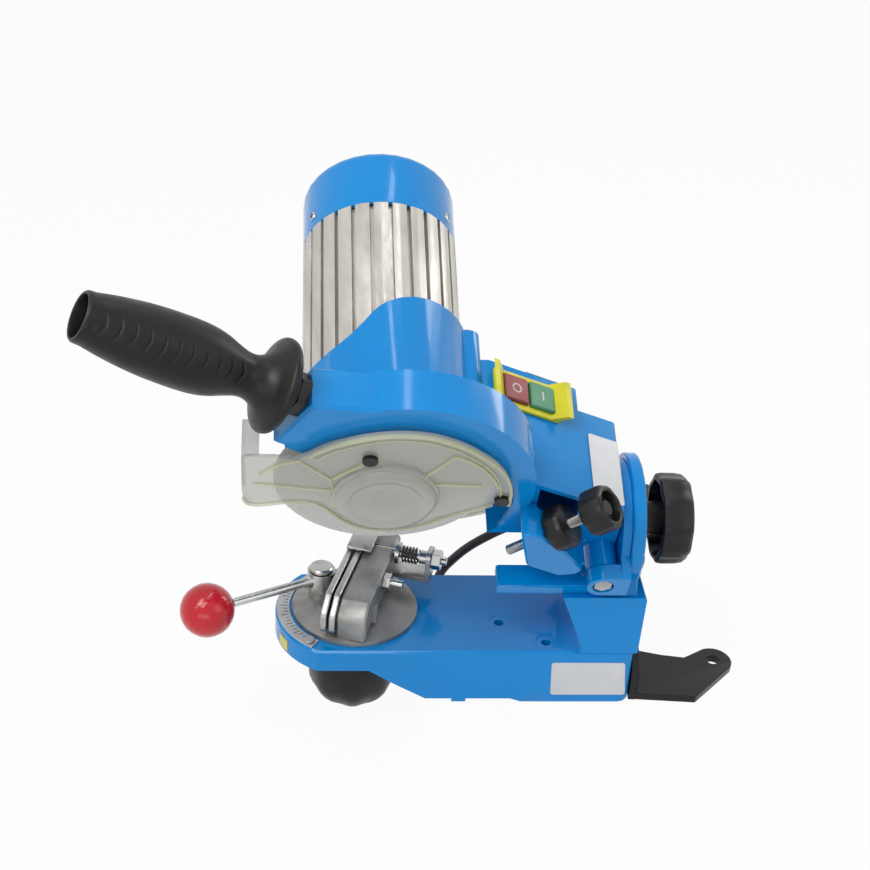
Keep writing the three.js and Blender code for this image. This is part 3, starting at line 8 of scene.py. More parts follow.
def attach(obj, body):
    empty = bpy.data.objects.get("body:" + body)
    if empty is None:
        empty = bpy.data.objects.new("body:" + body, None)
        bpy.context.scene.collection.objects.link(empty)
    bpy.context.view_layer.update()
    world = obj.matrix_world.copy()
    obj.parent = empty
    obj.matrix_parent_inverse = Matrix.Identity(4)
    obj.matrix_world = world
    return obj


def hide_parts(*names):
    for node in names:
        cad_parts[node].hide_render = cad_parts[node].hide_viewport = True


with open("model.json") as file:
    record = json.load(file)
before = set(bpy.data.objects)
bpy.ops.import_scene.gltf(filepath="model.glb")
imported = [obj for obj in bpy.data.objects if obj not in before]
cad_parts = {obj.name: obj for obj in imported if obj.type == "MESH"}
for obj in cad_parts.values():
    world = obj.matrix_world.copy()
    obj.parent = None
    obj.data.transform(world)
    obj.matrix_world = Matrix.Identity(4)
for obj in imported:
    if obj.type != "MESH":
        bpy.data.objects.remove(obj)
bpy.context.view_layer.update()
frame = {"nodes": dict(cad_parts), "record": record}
nodes = frame["nodes"]
scene = bpy.context.scene
MM = 0.001
HOME = {n: b for b, names in frame["record"]["behaviour"]["bodies"].items() for n in names}  # node to body

# Camera, at the photograph's angle
AZIMUTH, ELEVATION, ROLL = -6, 31.5, 4  # degrees
CAMERA_PLACE = (-0.1734, -0.9730, 0.7954)
LENS, SENSOR = 70.34, 36  # millimetres


def turned_axes(azimuth, elevation, roll):
    """The camera's right, up and back directions."""
    a, e, r = (math.radians(v) for v in (azimuth, elevation, roll))
    back = Vector((math.sin(a) * math.cos(e), -math.cos(a) * math.cos(e), math.sin(e)))
    right0 = Vector((math.cos(a), math.sin(a), 0))
    up0 = back.cross(right0)
    right = math.cos(r) * right0 + math.sin(r) * up0
    up = -math.sin(r) * right0 + math.cos(r) * up0
    return right, up, back


camera = bpy.data.objects.new("camera", bpy.data.cameras.new("camera"))
scene.collection.objects.link(camera)
camera.data.sensor_width = SENSOR
camera.data.lens = LENS
camera.data.clip_start = 0.05
axes = Matrix(turned_axes(AZIMUTH, ELEVATION, ROLL)).transposed().to_4x4()
camera.matrix_world = Matrix.Translation(CAMERA_PLACE) @ axes
scene.camera = camera


# Materials: every one is made of nodes, in metres of object space
def linear(rgb):
    """A screen colour of 0 to 255 as a linear one."""
    return tuple((c / 255 / 12.92) if c <= 10 else ((c / 255 + 0.055) / 1.055) ** 2.4 for c in rgb)


class Finish:
    """A Principled material with colour, roughness and bump from noise."""

    def __init__(self, name, rgb, rough, metal=0.0, **sockets):
        self.mat = bpy.data.materials.new(name)
        self.mat.use_nodes = True
        self.tree = self.mat.node_tree
        self.shader = self.tree.nodes["Principled BSDF"]
        self.shader.inputs["Metallic"].default_value = metal
        self.shader.inputs["Base Color"].default_value = (*linear(rgb), 1)
        self.shader.inputs["Roughness"].default_value = rough
        for key, value in sockets.items():
            self.shader.inputs[key.replace("_", " ")].default_value = value
        self.coords = self.tree.nodes.new("ShaderNodeTexCoord")
        self.height = None

    def node(self, kind, **values):
        made = self.tree.nodes.new(kind)
        for key, value in values.items():
            if hasattr(made, key):
                setattr(made, key, value)
            else:
                made.inputs[key.replace("_", " ")].default_value = value
        return made

    def link(self, a, b):
        self.tree.links.new(a, b)

    def noise(self, scale, detail, stretch=(1, 1, 1)):
        """Noise in object space, drawn out along an axis with a share under 1 and packed along one with more."""
        mapping = self.node("ShaderNodeMapping", Scale=stretch)
        self.link(self.coords.outputs["Object"], mapping.inputs["Vector"])
        made = self.node("ShaderNodeTexNoise", Scale=scale, Detail=detail)
        self.link(mapping.outputs["Vector"], made.inputs["Vector"])
        return made.outputs["Fac"]

    def spread(self, factor, low, high, start=0.35, end=0.65):
        """A factor's middle part spread from low to high."""
        made = self.node("ShaderNodeMapRange")
        self.link(factor, made.inputs["Value"])
        for key, value in (("From Min", start), ("From Max", end), ("To Min", low), ("To Max", high)):
            made.inputs[key].default_value = value
        return made.outputs["Result"]

    def tint(self, factor, dark, light, start=0.3, end=0.7):
        ramp = self.node("ShaderNodeValToRGB")
        ramp.color_ramp.elements[0].position = start
        ramp.color_ramp.elements[1].position = end
        ramp.color_ramp.elements[0].color = (*linear(dark), 1)
        ramp.color_ramp.elements[1].color = (*linear(light), 1)
        self.link(factor, ramp.inputs["Fac"])
        self.link(ramp.outputs["Color"], self.shader.inputs["Base Color"])
        return self

    def gloss(self, factor, low, high):
        self.link(self.spread(factor, low, high), self.shader.inputs["Roughness"])
        return self

    def bump(self, factor, distance, strength=1.0):
        made = self.node("ShaderNodeBump", Strength=strength, Distance=distance)
        self.link(factor, made.inputs["Height"])
        if self.height is not None:
            self.link(self.height, made.inputs["Normal"])
        self.height = made.outputs["Normal"]
        self.link(self.height, self.shader.inputs["Normal"])
        return self


def finish_blue():
    """Glossy enamel on castings, with a slight orange peel."""
    f = Finish("blue_enamel", (0, 136, 212), 0.2, Coat_Weight=0.2, Coat_Roughness=0.04, Specular_IOR_Level=0.2)
    f.tint(f.noise(9, 2), (0, 131, 204), (3, 141, 218), 0.2, 0.8)
    f.gloss(f.noise(60, 3), 0.12, 0.19)
    f.bump(f.noise(380, 2), 0.00006, 0.4).bump(f.noise(26, 1), 0.0003, 0.18)
    return f.mat


def finish_steel(name, rgb, low, high):
    """Bare or plated metal, its roughness from low to high."""
    f = Finish(name, rgb, (low + high) / 2, 1.0)
    dark = tuple(int(c * 0.86) for c in rgb)
    f.tint(f.noise(70, 4), dark, rgb)
    f.gloss(f.noise(260, 4), low, high)
    f.bump(f.noise(900, 3), 0.00005, 0.5)
    return f.mat


def finish_plastic(name, rgb, low, high, grain=0.00006, grain_scale=1500, **sockets):
    """A moulding or paint with a fine grain, its roughness from low to high."""
    f = Finish(name, rgb, (low + high) / 2, 0.0, **sockets)
    dark = tuple(int(c * 0.88) for c in rgb)
    f.tint(f.noise(30, 4), dark, rgb)
    f.gloss(f.noise(90, 3), low, high)
    f.bump(f.noise(grain_scale, 2), grain, 0.6)
    return f.mat


def finish_tube():
    """Extruded aluminium with draw lines along the tube."""
    f = Finish("extruded_alloy", (196, 192, 184), 0.36, 0.75)
    f.tint(f.noise(60, 3, (1, 0.04, 1)), (178, 174, 167), (204, 200, 192))
    f.gloss(f.noise(300, 3, (1, 0.02, 1)), 0.3, 0.44)
    f.bump(f.noise(900, 2, (1, 0.03, 1)), 0.00004, 0.5)
    return f.mat


def finish_plate():
    """A bare silver plate, brushed."""
    f = Finish("bare_plate", (190, 191, 193), 0.38, 0.45)
    f.tint(f.noise(160, 3, (1, 14, 1)), (178, 179, 181), (190, 191, 193))
    f.gloss(f.noise(260, 3, (1, 12, 1)), 0.32, 0.46)
    f.bump(f.noise(800, 2, (1, 14, 1)), 0.00003, 0.5)
    return f.mat


def finish_cast():
    """Bare cast alloy, a little coarse."""
    f = Finish("cast_alloy", (150, 150, 147), 0.44, 0.8)
    f.tint(f.noise(40, 5), (128, 127, 125), (160, 159, 156))
    f.gloss(f.noise(120, 3), 0.42, 0.62)
    f.bump(f.noise(700, 3), 0.00012, 0.7)
    return f.mat


def finish_stone():
    """The pale grit of the grinding wheel."""
    f = Finish("abrasive_grit", (212, 210, 206), 0.95)
    f.tint(f.noise(2600, 2), (190, 188, 184), (226, 224, 220), 0.35, 0.62)
    f.bump(f.noise(2200, 3), 0.0003, 0.9)
    return f.mat


def finish_clear():
    """Clear plastic: see-through face on, and fuller where it is seen along its face."""
    f = Finish("clear_guard", (192, 192, 186), 0.05, Coat_Weight=0.5, Coat_Roughness=0.03)
    edge = f.node("ShaderNodeLayerWeight", Blend=0.35)
    f.tint(edge.outputs["Facing"], (194, 194, 188), (186, 188, 168), 0.1, 0.9)
    f.link(f.spread(edge.outputs["Facing"], 0.42, 0.85, 0.1, 0.95), f.shader.inputs["Alpha"])
    f.bump(f.noise(35, 2), 0.0004, 0.3)
    return f.mat


def finish_edge():
    """Clear plastic's edges and ribs, which gather a yellow tone."""
    f = Finish("clear_guard_edge", (208, 210, 168), 0.1)
    edge = f.node("ShaderNodeLayerWeight", Blend=0.4)
    f.tint(edge.outputs["Facing"], (212, 213, 182), (196, 200, 136), 0.1, 0.9)
    f.link(f.spread(edge.outputs["Facing"], 0.42, 0.85, 0.1, 0.9), f.shader.inputs["Alpha"])
    f.bump(f.noise(60, 2), 0.0003, 0.3)
    return f.mat


def finish_label(name, rgb):
    """A bare printed film, even in colour."""
    f = Finish(name, rgb, 0.34)
    f.tint(f.noise(70, 2), tuple(int(c * 0.965) for c in rgb), rgb)
    f.gloss(f.noise(120, 2), 0.28, 0.4)
    f.bump(f.noise(90, 2), 0.00005, 0.3)
    return f.mat


def finish_cord():
    """The matt sheath of a mains lead."""
    f = Finish("cord_rubber", (30, 29, 31), 0.5)
    f.tint(f.noise(25, 3), (24, 23, 25), (40, 39, 41))
    f.gloss(f.noise(200, 3), 0.42, 0.6)
    f.bump(f.noise(1800, 2), 0.00004, 0.5)
    return f.mat


MATS = {
    "blue": finish_blue(),
    "steel": finish_steel("zinc_steel", (186, 186, 184), 0.26, 0.42),
    "spring_steel": finish_steel("black_spring", (70, 70, 72), 0.3, 0.45),
    "yellow": finish_plastic("yellow_frame", (226, 220, 22), 0.3, 0.42),
    "red_button": finish_plastic("red_button", (150, 62, 62), 0.35, 0.45),
    "green_button": finish_plastic("green_button", (74, 146, 108), 0.35, 0.45),
    "plate": finish_plate(),
    "black_plastic": finish_plastic("black_moulding", (22, 21, 23), 0.3, 0.46, 0.00008, 900,
                                    Specular_IOR_Level=0.3),
    "fluted_aluminium": finish_tube(),
    # dark: the stator's laminations, and the painted shade of the cap screws' cross recesses
    "dark_steel": finish_steel("dark_laminations_and_shade", (70, 68, 70), 0.4, 0.6),
    "abrasive": finish_stone(),
    "clear": finish_clear(),
    "black_steel": finish_plastic("black_steel", (20, 20, 22), 0.26, 0.38, 0.00006, 1200,
                                  Specular_IOR_Level=0.3),
    "cast_alloy": finish_cast(),
    "chrome": finish_steel("bright_plate", (196, 196, 194), 0.2, 0.32),
    "red_ball": finish_plastic("red_ball", (206, 22, 40), 0.12, 0.2, 0.00003, 300,
                               Coat_Weight=0.2, Coat_Roughness=0.05, Specular_IOR_Level=0.35),
    "cord_rubber": finish_cord(),
    "grip": finish_plastic("grip_moulding", (15, 14, 17), 0.34, 0.48, 0.00008, 1100, Specular_IOR_Level=0.3),
    "clear_edge": finish_edge(),
    "mark": finish_plastic("white_inlay", (214, 208, 204), 0.4, 0.5),
    "ink": finish_plastic("black_print", (30, 30, 32), 0.45, 0.55),
    "yellow_label": finish_label("bare_yellow_label", (214, 206, 92)),
    "label": finish_label("bare_label", (214, 215, 216)),
}

# The head's tilt, and places in millimetres: the height of its axis, the wheel's and motor's axis in the head's
# own frame, and the vise's axis on the bench
TILT, HINGE_Z = math.radians(24), 130
WHEEL_X, WHEEL_H = -107, 80
VISE_X, VISE_Y = -120, 4
SMOOTH = 32  # degrees: faces that meet at less are shaded as one, and their edge isn't softened
UPRIGHT = Matrix(((1, 0, 0, 0), (0, 0, -1, 0), (0, 1, 0, 0), (0, 0, 0, 1)))  # X and height drawn flat, Z to the front


def shift(x, y, z):
    """A move in millimetres."""
    return Matrix.Translation((x * MM, y * MM, z * MM))


def turn_y(degrees):
    """A turn about Y."""
    return Matrix.Rotation(math.radians(degrees), 4, "Y")


def axis_frame(origin, along, across=(0, 0, 1)):
    """A frame at origin, in millimetres, whose Z lies along."""
    z = Vector(along).normalized()
    x = Vector(across)
    x = (x - x.dot(z) * z).normalized()
    y = z.cross(x)
    turn = Matrix((x, y, z)).transposed().to_4x4()
    return Matrix.Translation(Vector(origin) * MM) @ turn


def new_object(name, data, mat, body, stands_for=()):
    """A piece with its material and slot, riding on a body, in place of the CAD nodes that it stands for."""
    made = bpy.data.objects.new(name, data)
    scene.collection.objects.link(made)
    made.data.materials.clear()
    made.data.materials.append(MATS[mat])
    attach(made, body)
    if stands_for:
        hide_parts(*stands_for)
    return made


def shade(mesh, angle=SMOOTH):
    """Smooth shading, sharp where faces meet at more than the angle."""
    for face in mesh.polygons:
        face.use_smooth = True
    mesh.set_sharp_from_angle(angle=math.radians(angle))


def soften(obj, width):
    """A small round on every sharp edge, width in millimetres."""
    bevel = obj.modifiers.new("edge", "BEVEL")
    bevel.width = width * MM
    bevel.segments = 2
    bevel.limit_method = "ANGLE"
    bevel.angle_limit = math.radians(SMOOTH)
    bevel.use_clamp_overlap = True
    bevel.harden_normals = True


def carved(data, cutter):
    """A mesh with another mesh's volume cut away."""
    target = bpy.data.objects.new("carving", data)
    tool = bpy.data.objects.new("carver", cutter)
    for obj in (target, tool):
        scene.collection.objects.link(obj)
    cut = target.modifiers.new("cut", "BOOLEAN")
    cut.operation, cut.solver, cut.object = "DIFFERENCE", "EXACT", tool
    bpy.context.view_layer.update()
    made = bpy.data.meshes.new_from_object(target.evaluated_get(bpy.context.evaluated_depsgraph_get()))
    for obj in (target, tool):
        bpy.data.objects.remove(obj)
    return made


def dress(node, mat, width, cutter=None):
    """The CAD node's own shape, with clean shading and softened edges."""
    data = nodes[node].data.copy()
    data.name = "look_" + node
    bm = bmesh.new()
    bm.from_mesh(data)
    bmesh.ops.remove_doubles(bm, verts=bm.verts, dist=0.00002)
    bmesh.ops.dissolve_limit(bm, angle_limit=math.radians(0.6), verts=bm.verts, edges=bm.edges)
    bmesh.ops.recalc_face_normals(bm, faces=bm.faces)
    bm.to_mesh(data)
    bm.free()
    if cutter:
        data = carved(data, cutter)
    if "sharp_face" in data.attributes:
        data.attributes.remove(data.attributes["sharp_face"])
    shade(data)
    made = new_object("look_" + node, data, mat, HOME[node], [node])
    if width:
        soften(made, width)


def mesh_of(name, verts, faces):
    """A mesh of corners in millimetres, with its doubles joined."""
    data = bpy.data.meshes.new(name)
    data.from_pydata([tuple(Vector(v) * MM) for v in verts], [], faces)
    bm = bmesh.new()
    bm.from_mesh(data)
    bmesh.ops.remove_doubles(bm, verts=bm.verts, dist=0.000005)
    bmesh.ops.recalc_face_normals(bm, faces=bm.faces)
    bm.to_mesh(data)
    bm.free()
    return data


def lathe(name, profile, place, mat, body, stands_for=(), steps=72, wave=None, angle=SMOOTH):
    """A profile of [radius, height] turned about place's Z; wave(angle, radius, height) moves a radius."""
    verts = []
    for i in range(steps):
        a = 2 * math.pi * i / steps
        for r, h in profile:
            radius = wave(a, r, h) if wave else r
            verts.append((radius * math.cos(a), radius * math.sin(a), h))
    n = len(profile)
    faces = []
    for i in range(steps):
        j = (i + 1) % steps
        for k in range(n - 1):
            faces.append((i * n + k, j * n + k, j * n + k + 1, i * n + k + 1))
    data = mesh_of(name, verts, faces)
    data.transform(place)
    shade(data, angle)
    new_object(name, data, mat, body, stands_for)


def prism(name, outline, low, high, place):
    """A mesh of an outline in place's XY, drawn out from low to high along its Z."""
    n = len(outline)
    verts = [(x, y, z) for z in (low, high) for x, y in outline]
    faces = [tuple(reversed(range(n))), tuple(range(n, 2 * n))]
    faces += [(i, (i + 1) % n, n + (i + 1) % n, n + i) for i in range(n)]
    data = mesh_of(name, verts, faces)
    data.transform(place)
    return data


def slab(name, outline, low, high, place, mat, body, stands_for, soft):
    """A flat piece of an outline, its edges softened by soft."""
    data = prism(name, outline, low, high, place)
    shade(data)
    made = new_object(name, data, mat, body, stands_for)
    if soft:
        soften(made, soft)


def rounded(corners, steps):
    """Corners [x, y, radius] as an outline with round corners."""
    points = []
    n = len(corners)
    for i, corner in enumerate(corners):
        p = Vector(corner[:2])
        r = corner[2]
        a = (Vector(corners[i - 1][:2]) - p).normalized()
        b = (Vector(corners[(i + 1) % n][:2]) - p).normalized()
        half = a.angle(b) / 2
        reach = r / math.tan(half)
        centre = p + (a + b).normalized() * (r / math.sin(half))
        start, end = p + a * reach - centre, p + b * reach - centre
        turn = start.angle_signed(end)
        for k in range(steps + 1):
            t = -turn * k / steps
            points.append((centre.x + start.x * math.cos(t) - start.y * math.sin(t),
                           centre.y + start.x * math.sin(t) + start.y * math.cos(t)))
    return points


# The mains cord: a free run, a coil in two layers and a tail, on the places that the CAD cord has
CORD_R = 3.5
COIL_X, COIL_Y = 68, 124
COIL_R, TURNS = 45.7, 4.25
PITCH, RISE = 7.6, 7.5  # from turn to turn, and from layer to layer
FLOOR = 3.8  # height of the cord's middle where it lies
RUN = [(48, 74.6, 60), (48, 82, 59.8), (46, 92, 59), (39, 101, 57), (28, 107, 54), (14, 109, 50), (-2, 108, 44),
       (-16, 106, 37), (-28, 103.5, 30), (-38, 101, 22), (-49, 93, 14), (-54, 80, 8), (-51, 67, 5),
       (-42, 57, 4), (-28, 52.5, 3.8), (-10, 52, 3.8), (8, 53, 3.8), (26, 59, 3.8), (40, 68, 3.8),
       (50, 76, 3.8), (54.5, 78, 3.8)]
TAIL = [(113.7, 131.3, 11.3), (114, 137, 11.2), (116.5, 147, 11), (121, 158, 10.7), (124, 166, 10.5)]


def catmull(points, steps):
    """The centripetal curve through points, as the CAD cord has it."""
    pts = [Vector(p) for p in points]
    ends = [2 * pts[0] - pts[1]] + pts + [2 * pts[-1] - pts[-2]]
    line = []
    for i in range(1, len(ends) - 2):
        p0, p1, p2, p3 = ends[i - 1:i + 3]
        knots = [0.0]
        for a, b in ((p0, p1), (p1, p2), (p2, p3)):
            knots.append(knots[-1] + max((b - a).length, 1e-4) ** 0.5)
        for k in range(steps):
            t = knots[1] + (knots[2] - knots[1]) * k / steps
            a1 = p0.lerp(p1, (t - knots[0]) / (knots[1] - knots[0]))
            a2 = p1.lerp(p2, (t - knots[1]) / (knots[2] - knots[1]))
            a3 = p2.lerp(p3, (t - knots[2]) / (knots[3] - knots[2]))
            b1 = a1.lerp(a2, (t - knots[0]) / (knots[2] - knots[0]))
            b2 = a2.lerp(a3, (t - knots[1]) / (knots[3] - knots[1]))
            line.append(b1.lerp(b2, (t - knots[1]) / (knots[2] - knots[1])))
    line.append(pts[-1])
    return line


def coil_line():
    """The coil: inwards on the floor, up to the second layer, and outwards."""
    per_turn, climb = 48, 0.5  # points in a turn, and the share of one that the climb takes
    half = TURNS / 2
    count = round(TURNS * per_turn)
    line = []
    for i in range(count + 1):
        turn = i / count * TURNS
        radius = COIL_R - PITCH * (turn if turn <= half else TURNS - turn)
        rise = min(max((turn - half + climb / 2) / climb, 0), 1)
        angle = math.radians(-90) + turn * 2 * math.pi
        line.append(Vector((COIL_X + radius * math.cos(angle), COIL_Y + radius * math.sin(angle),
                            FLOOR + RISE * rise)))
    return line


def mains_cord():
    """Run, coil and tail as one curve, in place of the three CAD solids."""
    line = catmull(RUN, 5) + coil_line() + catmull(TAIL, 4)
    data = bpy.data.curves.new("mains_cord", "CURVE")
    data.dimensions = "3D"
    data.bevel_depth = CORD_R * MM
    data.bevel_resolution = 5
    data.use_fill_caps = True
    spline = data.splines.new("POLY")
    spline.points.add(len(line) - 1)
    for point, p in zip(spline.points, line):
        point.co = (*(p * MM), 1)
    made = new_object("mains_cord", data, "cord_rubber", "base")
    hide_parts("cord_run", "cord_coil", "cord_tail")


dress("plug", "black_plastic", 1.0)
mains_cord()

# The head's tilted frame, and frames in it: X and height drawn flat with Z to the front, Z along the wheel's axis
# to the rear, along the grip, along the depth screw, and out of the switch's slope
HEAD = Matrix(((1, 0, 0, 0), (0, math.cos(TILT), -math.sin(TILT), 0),
               (0, math.sin(TILT), math.cos(TILT), HINGE_Z * MM), (0, 0, 0, 1)))
FLAT = HEAD @ UPRIGHT
WHEEL = HEAD @ shift(WHEEL_X, 0, WHEEL_H) @ Matrix(((0, 1, 0, 0), (0, 0, 1, 0), (1, 0, 0, 0), (0, 0, 0, 1)))
GRIP = HEAD @ shift(-97, -13, 80) @ turn_y(-60) @ shift(36, 0, 0)
STOP = HEAD @ shift(11, -40, 52) @ turn_y(46.4)
SWITCH = HEAD @ shift(-11, 45, 81) @ turn_y(math.degrees(math.atan(0.5)))

# Pieces that keep their CAD shape: the material, and the width of the softened edges in millimetres
PLAIN = {
    "base_casting": ("blue", 1.2), "tilt_bracket": ("blue", 1.0), "motor_cap": ("blue", 0.4),
    "tilt_stud": ("steel", 0.4), "hinge_bolt": ("steel", 0.5), "hinge_nut": ("steel", 0.5),
    "return_spring": ("spring_steel", 0),
    "switch_frame": ("yellow", 0.3), "stop_button": ("red_button", 0.3), "start_button": ("green_button", 0.3),
    "rating_plate": ("plate", 0.15), "housing_cover": ("black_plastic", 0.4), "motor_tube": ("fluted_aluminium", 0.25),
    "stator": ("dark_steel", 0.3), "front_bearing": ("steel", 0.3), "rear_bearing": ("steel", 0.3),
    "rotor_shaft": ("steel", 0.3), "grinding_wheel": ("abrasive", 0.3), "wheel_flange": ("steel", 0.3),
    "wheel_nut": ("steel", 0.5), "cover_screw_1": ("black_steel", 0.4), "cover_screw_2": ("black_steel", 0.4),
    "handle_nut": ("black_plastic", 0.8), "handle_stud": ("steel", 0.2), "vise_turntable": ("cast_alloy", 0.5),
    "jaw_block": ("cast_alloy", 0.8), "jaw_plate_fixed": ("steel", 0.4), "jaw_plate_moving": ("steel", 0.4),
    "clamp_lever": ("chrome", 0.3), "clamp_bolt": ("chrome", 0.3), "lever_ball": ("red_ball", 0),
    "stop_bracket": ("steel", 0.4), "adjuster_screw": ("chrome", 0.3), "adjuster_spring": ("spring_steel", 0),
    "block_stud": ("chrome", 0.3), "chain_stop": ("steel", 0.4), "scale_plate": ("plate", 0.15),
    "scale_screw": ("steel", 0.2), "tilt_washer": ("steel", 0.2), "rear_bracket": ("black_steel", 0.6),
    "cord_relief": ("cord_rubber", 0.4),
}


def smooth_line(points, steps):
    """A soft line through points [x, y]."""
    line = []
    last = len(points) - 1
    for i in range(last):
        p0, p1, p2, p3 = (Vector(points[min(max(i + k, 0), last)]) for k in (-1, 0, 1, 2))
        for k in range(steps):
            t = k / steps
            line.append(0.5 * (2 * p1 + (p2 - p0) * t + (2 * p0 - 5 * p1 + 4 * p2 - p3) * t * t
                               + (3 * p1 - p0 - 3 * p2 + p3) * t ** 3))
    line.append(Vector(points[-1]))
    return [tuple(p) for p in line]


def clear_bar(name, path, width, low, high):
    """A raised strip of even width on clear plastic, along a path in the head's flat frame."""
    pts = [Vector(p) for p in path]
    left, right = [], []
    for i, p in enumerate(pts):
        along = (pts[min(i + 1, len(pts) - 1)] - pts[max(i - 1, 0)]).normalized()
        side = Vector((-along.y, along.x)) * width / 2
        left.append(tuple(p + side))
        right.append(tuple(p - side))
    slab(name, left + right[::-1], low, high, FLAT, "clear_edge", "arm", (), 0.15)


def side_handle():
    """The grip: a flange, a waist, a full middle with curved nicks, and an open end."""
    low, high, skin = 140, 236, 13.9  # the nicks lie between these heights, beyond this radius
    sides, reach = (-38, 142), 0.42  # their rows in degrees, and half a nick's width in radians
    step, start, bow = 8.9, 146, 3.2  # from nick to nick, a nick's ends, and how far its middle is drawn back
    deep, wide = 0.9, 0.8  # a nick's depth, and its width along the grip
    knots = [(13, 104), (14.2, 106), (21, 109.2), (28.4, 111.8), (30.2, 114.2), (29.9, 117), (26.5, 119.2),
             (20.5, 122.5), (16, 127), (14, 132.5), (14.2, 138.5), (16.4, 146), (19.2, 154), (21.2, 163), (22, 174),
             (22, 187), (21.5, 199), (20.4, 211), (18.8, 223), (17, 233), (16.1, 238), (16, 240.5), (15.7, 242.6),
             (14.8, 243.7)]
    outer = smooth_line(knots, 6)
    bore = [(13.5, 243.6), (12.9, 241), (12.4, 224), (5.5, 223.5), (5.5, 103.6), (13, 103.6)]

    def crescents(a, r, h):
        """Short curved nicks in two rows, on opposite sides."""
        if not low < h < high or r < skin:
            return r
        off = min(abs((a - math.radians(side) + math.pi) % (2 * math.pi) - math.pi) for side in sides) / reach
        if off >= 1:
            return r
        row = (h - start + bow * (1 - off * off)) / step
        near = abs(row - round(row)) * step
        return r - deep * min(1, 3 * (1 - off)) * math.exp(-(near / wide) ** 2)

    ring_gap = 0.55  # close rings where the nicks are
    dense = []
    for (r0, h0), (r1, h1) in zip(outer, outer[1:]):
        cuts = max(1, int((h1 - h0) / ring_gap)) if low - 2 < h0 < high + 2 else 1
        dense += [(r0 + (r1 - r0) * k / cuts, h0 + (h1 - h0) * k / cuts) for k in range(cuts)]
    lathe("grip_handle", dense + [outer[-1]] + bore, GRIP, "grip", "arm", ["side_handle"], 144, crescents, 50)


# The clear cover's outline in the head's flat frame: over the wheel from left to right, and back below it
COVER_TOP = [(-157.7, 125.6), (-150, 132.5), (-141.5, 138), (-123.5, 145.6), (-109, 149), (-95.5, 149.6), (-82, 147.6),
             (-69.2, 142.4), (-58, 135.6), (-49.1, 128), (-40, 119), (-33, 108.5), (-28.4, 97), (-26.4, 86),
             (-26.6, 72)]
COVER_LOW = [(-36.7, 71.5), (-53, 62.5), (-69.5, 52.9), (-80, 45.6), (-90, 41), (-99, 38.6), (-107, 38), (-116, 39.4),
             (-124.3, 42.6), (-131, 47.6), (-137, 54), (-142.7, 61.4), (-147, 66.6), (-152.7, 70.4), (-160, 72.4),
             (-171, 71.6), (-183, 69), (-190, 68), (-195.4, 70), (-198.4, 76)]


def clear_cover():
    """The clear cover over the wheel: a sheet, its raised edge, ribs, the round boss and the side wall."""
    near, far = 34.6, 31.4  # the sheet's two faces
    centre_x, centre_h, inset = -99.5, 82, 0.09  # the inner line is the rim drawn in towards a centre
    edge = smooth_line(COVER_TOP, 4) + smooth_line(COVER_LOW, 4)
    outline = edge + [(-199, 84), (-199, 119), (-196, 122), (-178, 122), (-166, 120)]
    slab("clear_sheet", outline, far, near, FLAT, "clear", "arm", ["clear_cover"], 0.3)
    rim = smooth_line(COVER_TOP, 6)
    clear_bar("clear_rim", rim, 2.2, near, near + 2.4)
    inner = [(x + (centre_x - x) * inset, h + (centre_h - h) * inset) for x, h in rim]
    clear_bar("clear_rim_inner", inner, 1.2, near, near + 1)
    clear_bar("clear_low_edge", smooth_line(COVER_LOW, 4), 1.6, near - 0.4, near + 1.6)
    ribs = {
        "a": [(-87.5, 98), (-66, 127)], "c": [(-89, 95.4), (-46, 94)], "d": [(-191.7, 94), (-141, 86.4)],
        "e": [(-162.5, 119.5), (-143, 99.5)], "f": [(-188, 104), (-176, 116), (-162, 121)],
        "g": [(-143, 99.5), (-128, 113), (-118, 122)], "h": [(-141, 86.4), (-143, 99.5)],
        "i": [(-137, 62), (-141, 86.4)],
    }
    for name, path in ribs.items():
        clear_bar("clear_rib_" + name, path, 1.5, near, near + 1.6)
    arc = smooth_line([(-66, 127), (-57, 122.6), (-47.5, 114), (-40, 103), (-35, 92)], 6)
    clear_bar("clear_rib_b", arc, 1.5, near, near + 1.6)
    boss = [(35, -near), (34.6, -36.4), (33, -37.4), (32.6, -39.5), (31, -41.2), (28, -41.8), (24.5, -41.4),
            (23.4, -40.4), (22, -40), (0.01, -39.6)]
    lathe("clear_boss", boss, WHEEL, "clear", "arm", (), 96, None, 40)
    wall = [(-199, 84), (-196.9, 84), (-196.9, 118), (-188, 120), (-188, 122), (-199, 122)]
    slab("clear_wall", wall, 5.5, far, FLAT, "clear", "arm", (), 0.3)


def cap_screws():
    """Cross-head screws in the skirt of the motor's cap, each cross a dark slab of painted shade where the recess
    would be.
    """
    head = [(0.01, 0.9), (1.2, 1.25), (2.6, 0.9), (3.3, 0.2), (3.3, -0.8), (0.01, -0.8)]
    skirt_r, skirt_y = 54, 179.5  # where they sit, from the motor's axis and along it
    for i, degrees in enumerate((152, 31, 271)):
        out, rise = math.cos(math.radians(degrees)), math.sin(math.radians(degrees))
        seat = (WHEEL_X + skirt_r * out, skirt_y, WHEEL_H + skirt_r * rise)
        place = HEAD @ axis_frame(seat, (out, 0, rise), (0, 1, 0))
        lathe("cap_screw_%d" % i, head, place, "chrome", "arm", (), 32, None, 30)
        # each cross is a dark slab through the head: painted shade standing for the screw's cross recess
        for k, (w, h) in enumerate(((1.7, 0.45), (0.45, 1.7))):
            slab("cap_cross_shade_%d_%d" % (i, k), [(-w, -h), (w, -h), (w, h), (-w, h)], 0.6, 1.32, place, "dark_steel",
                 "arm", (), 0)


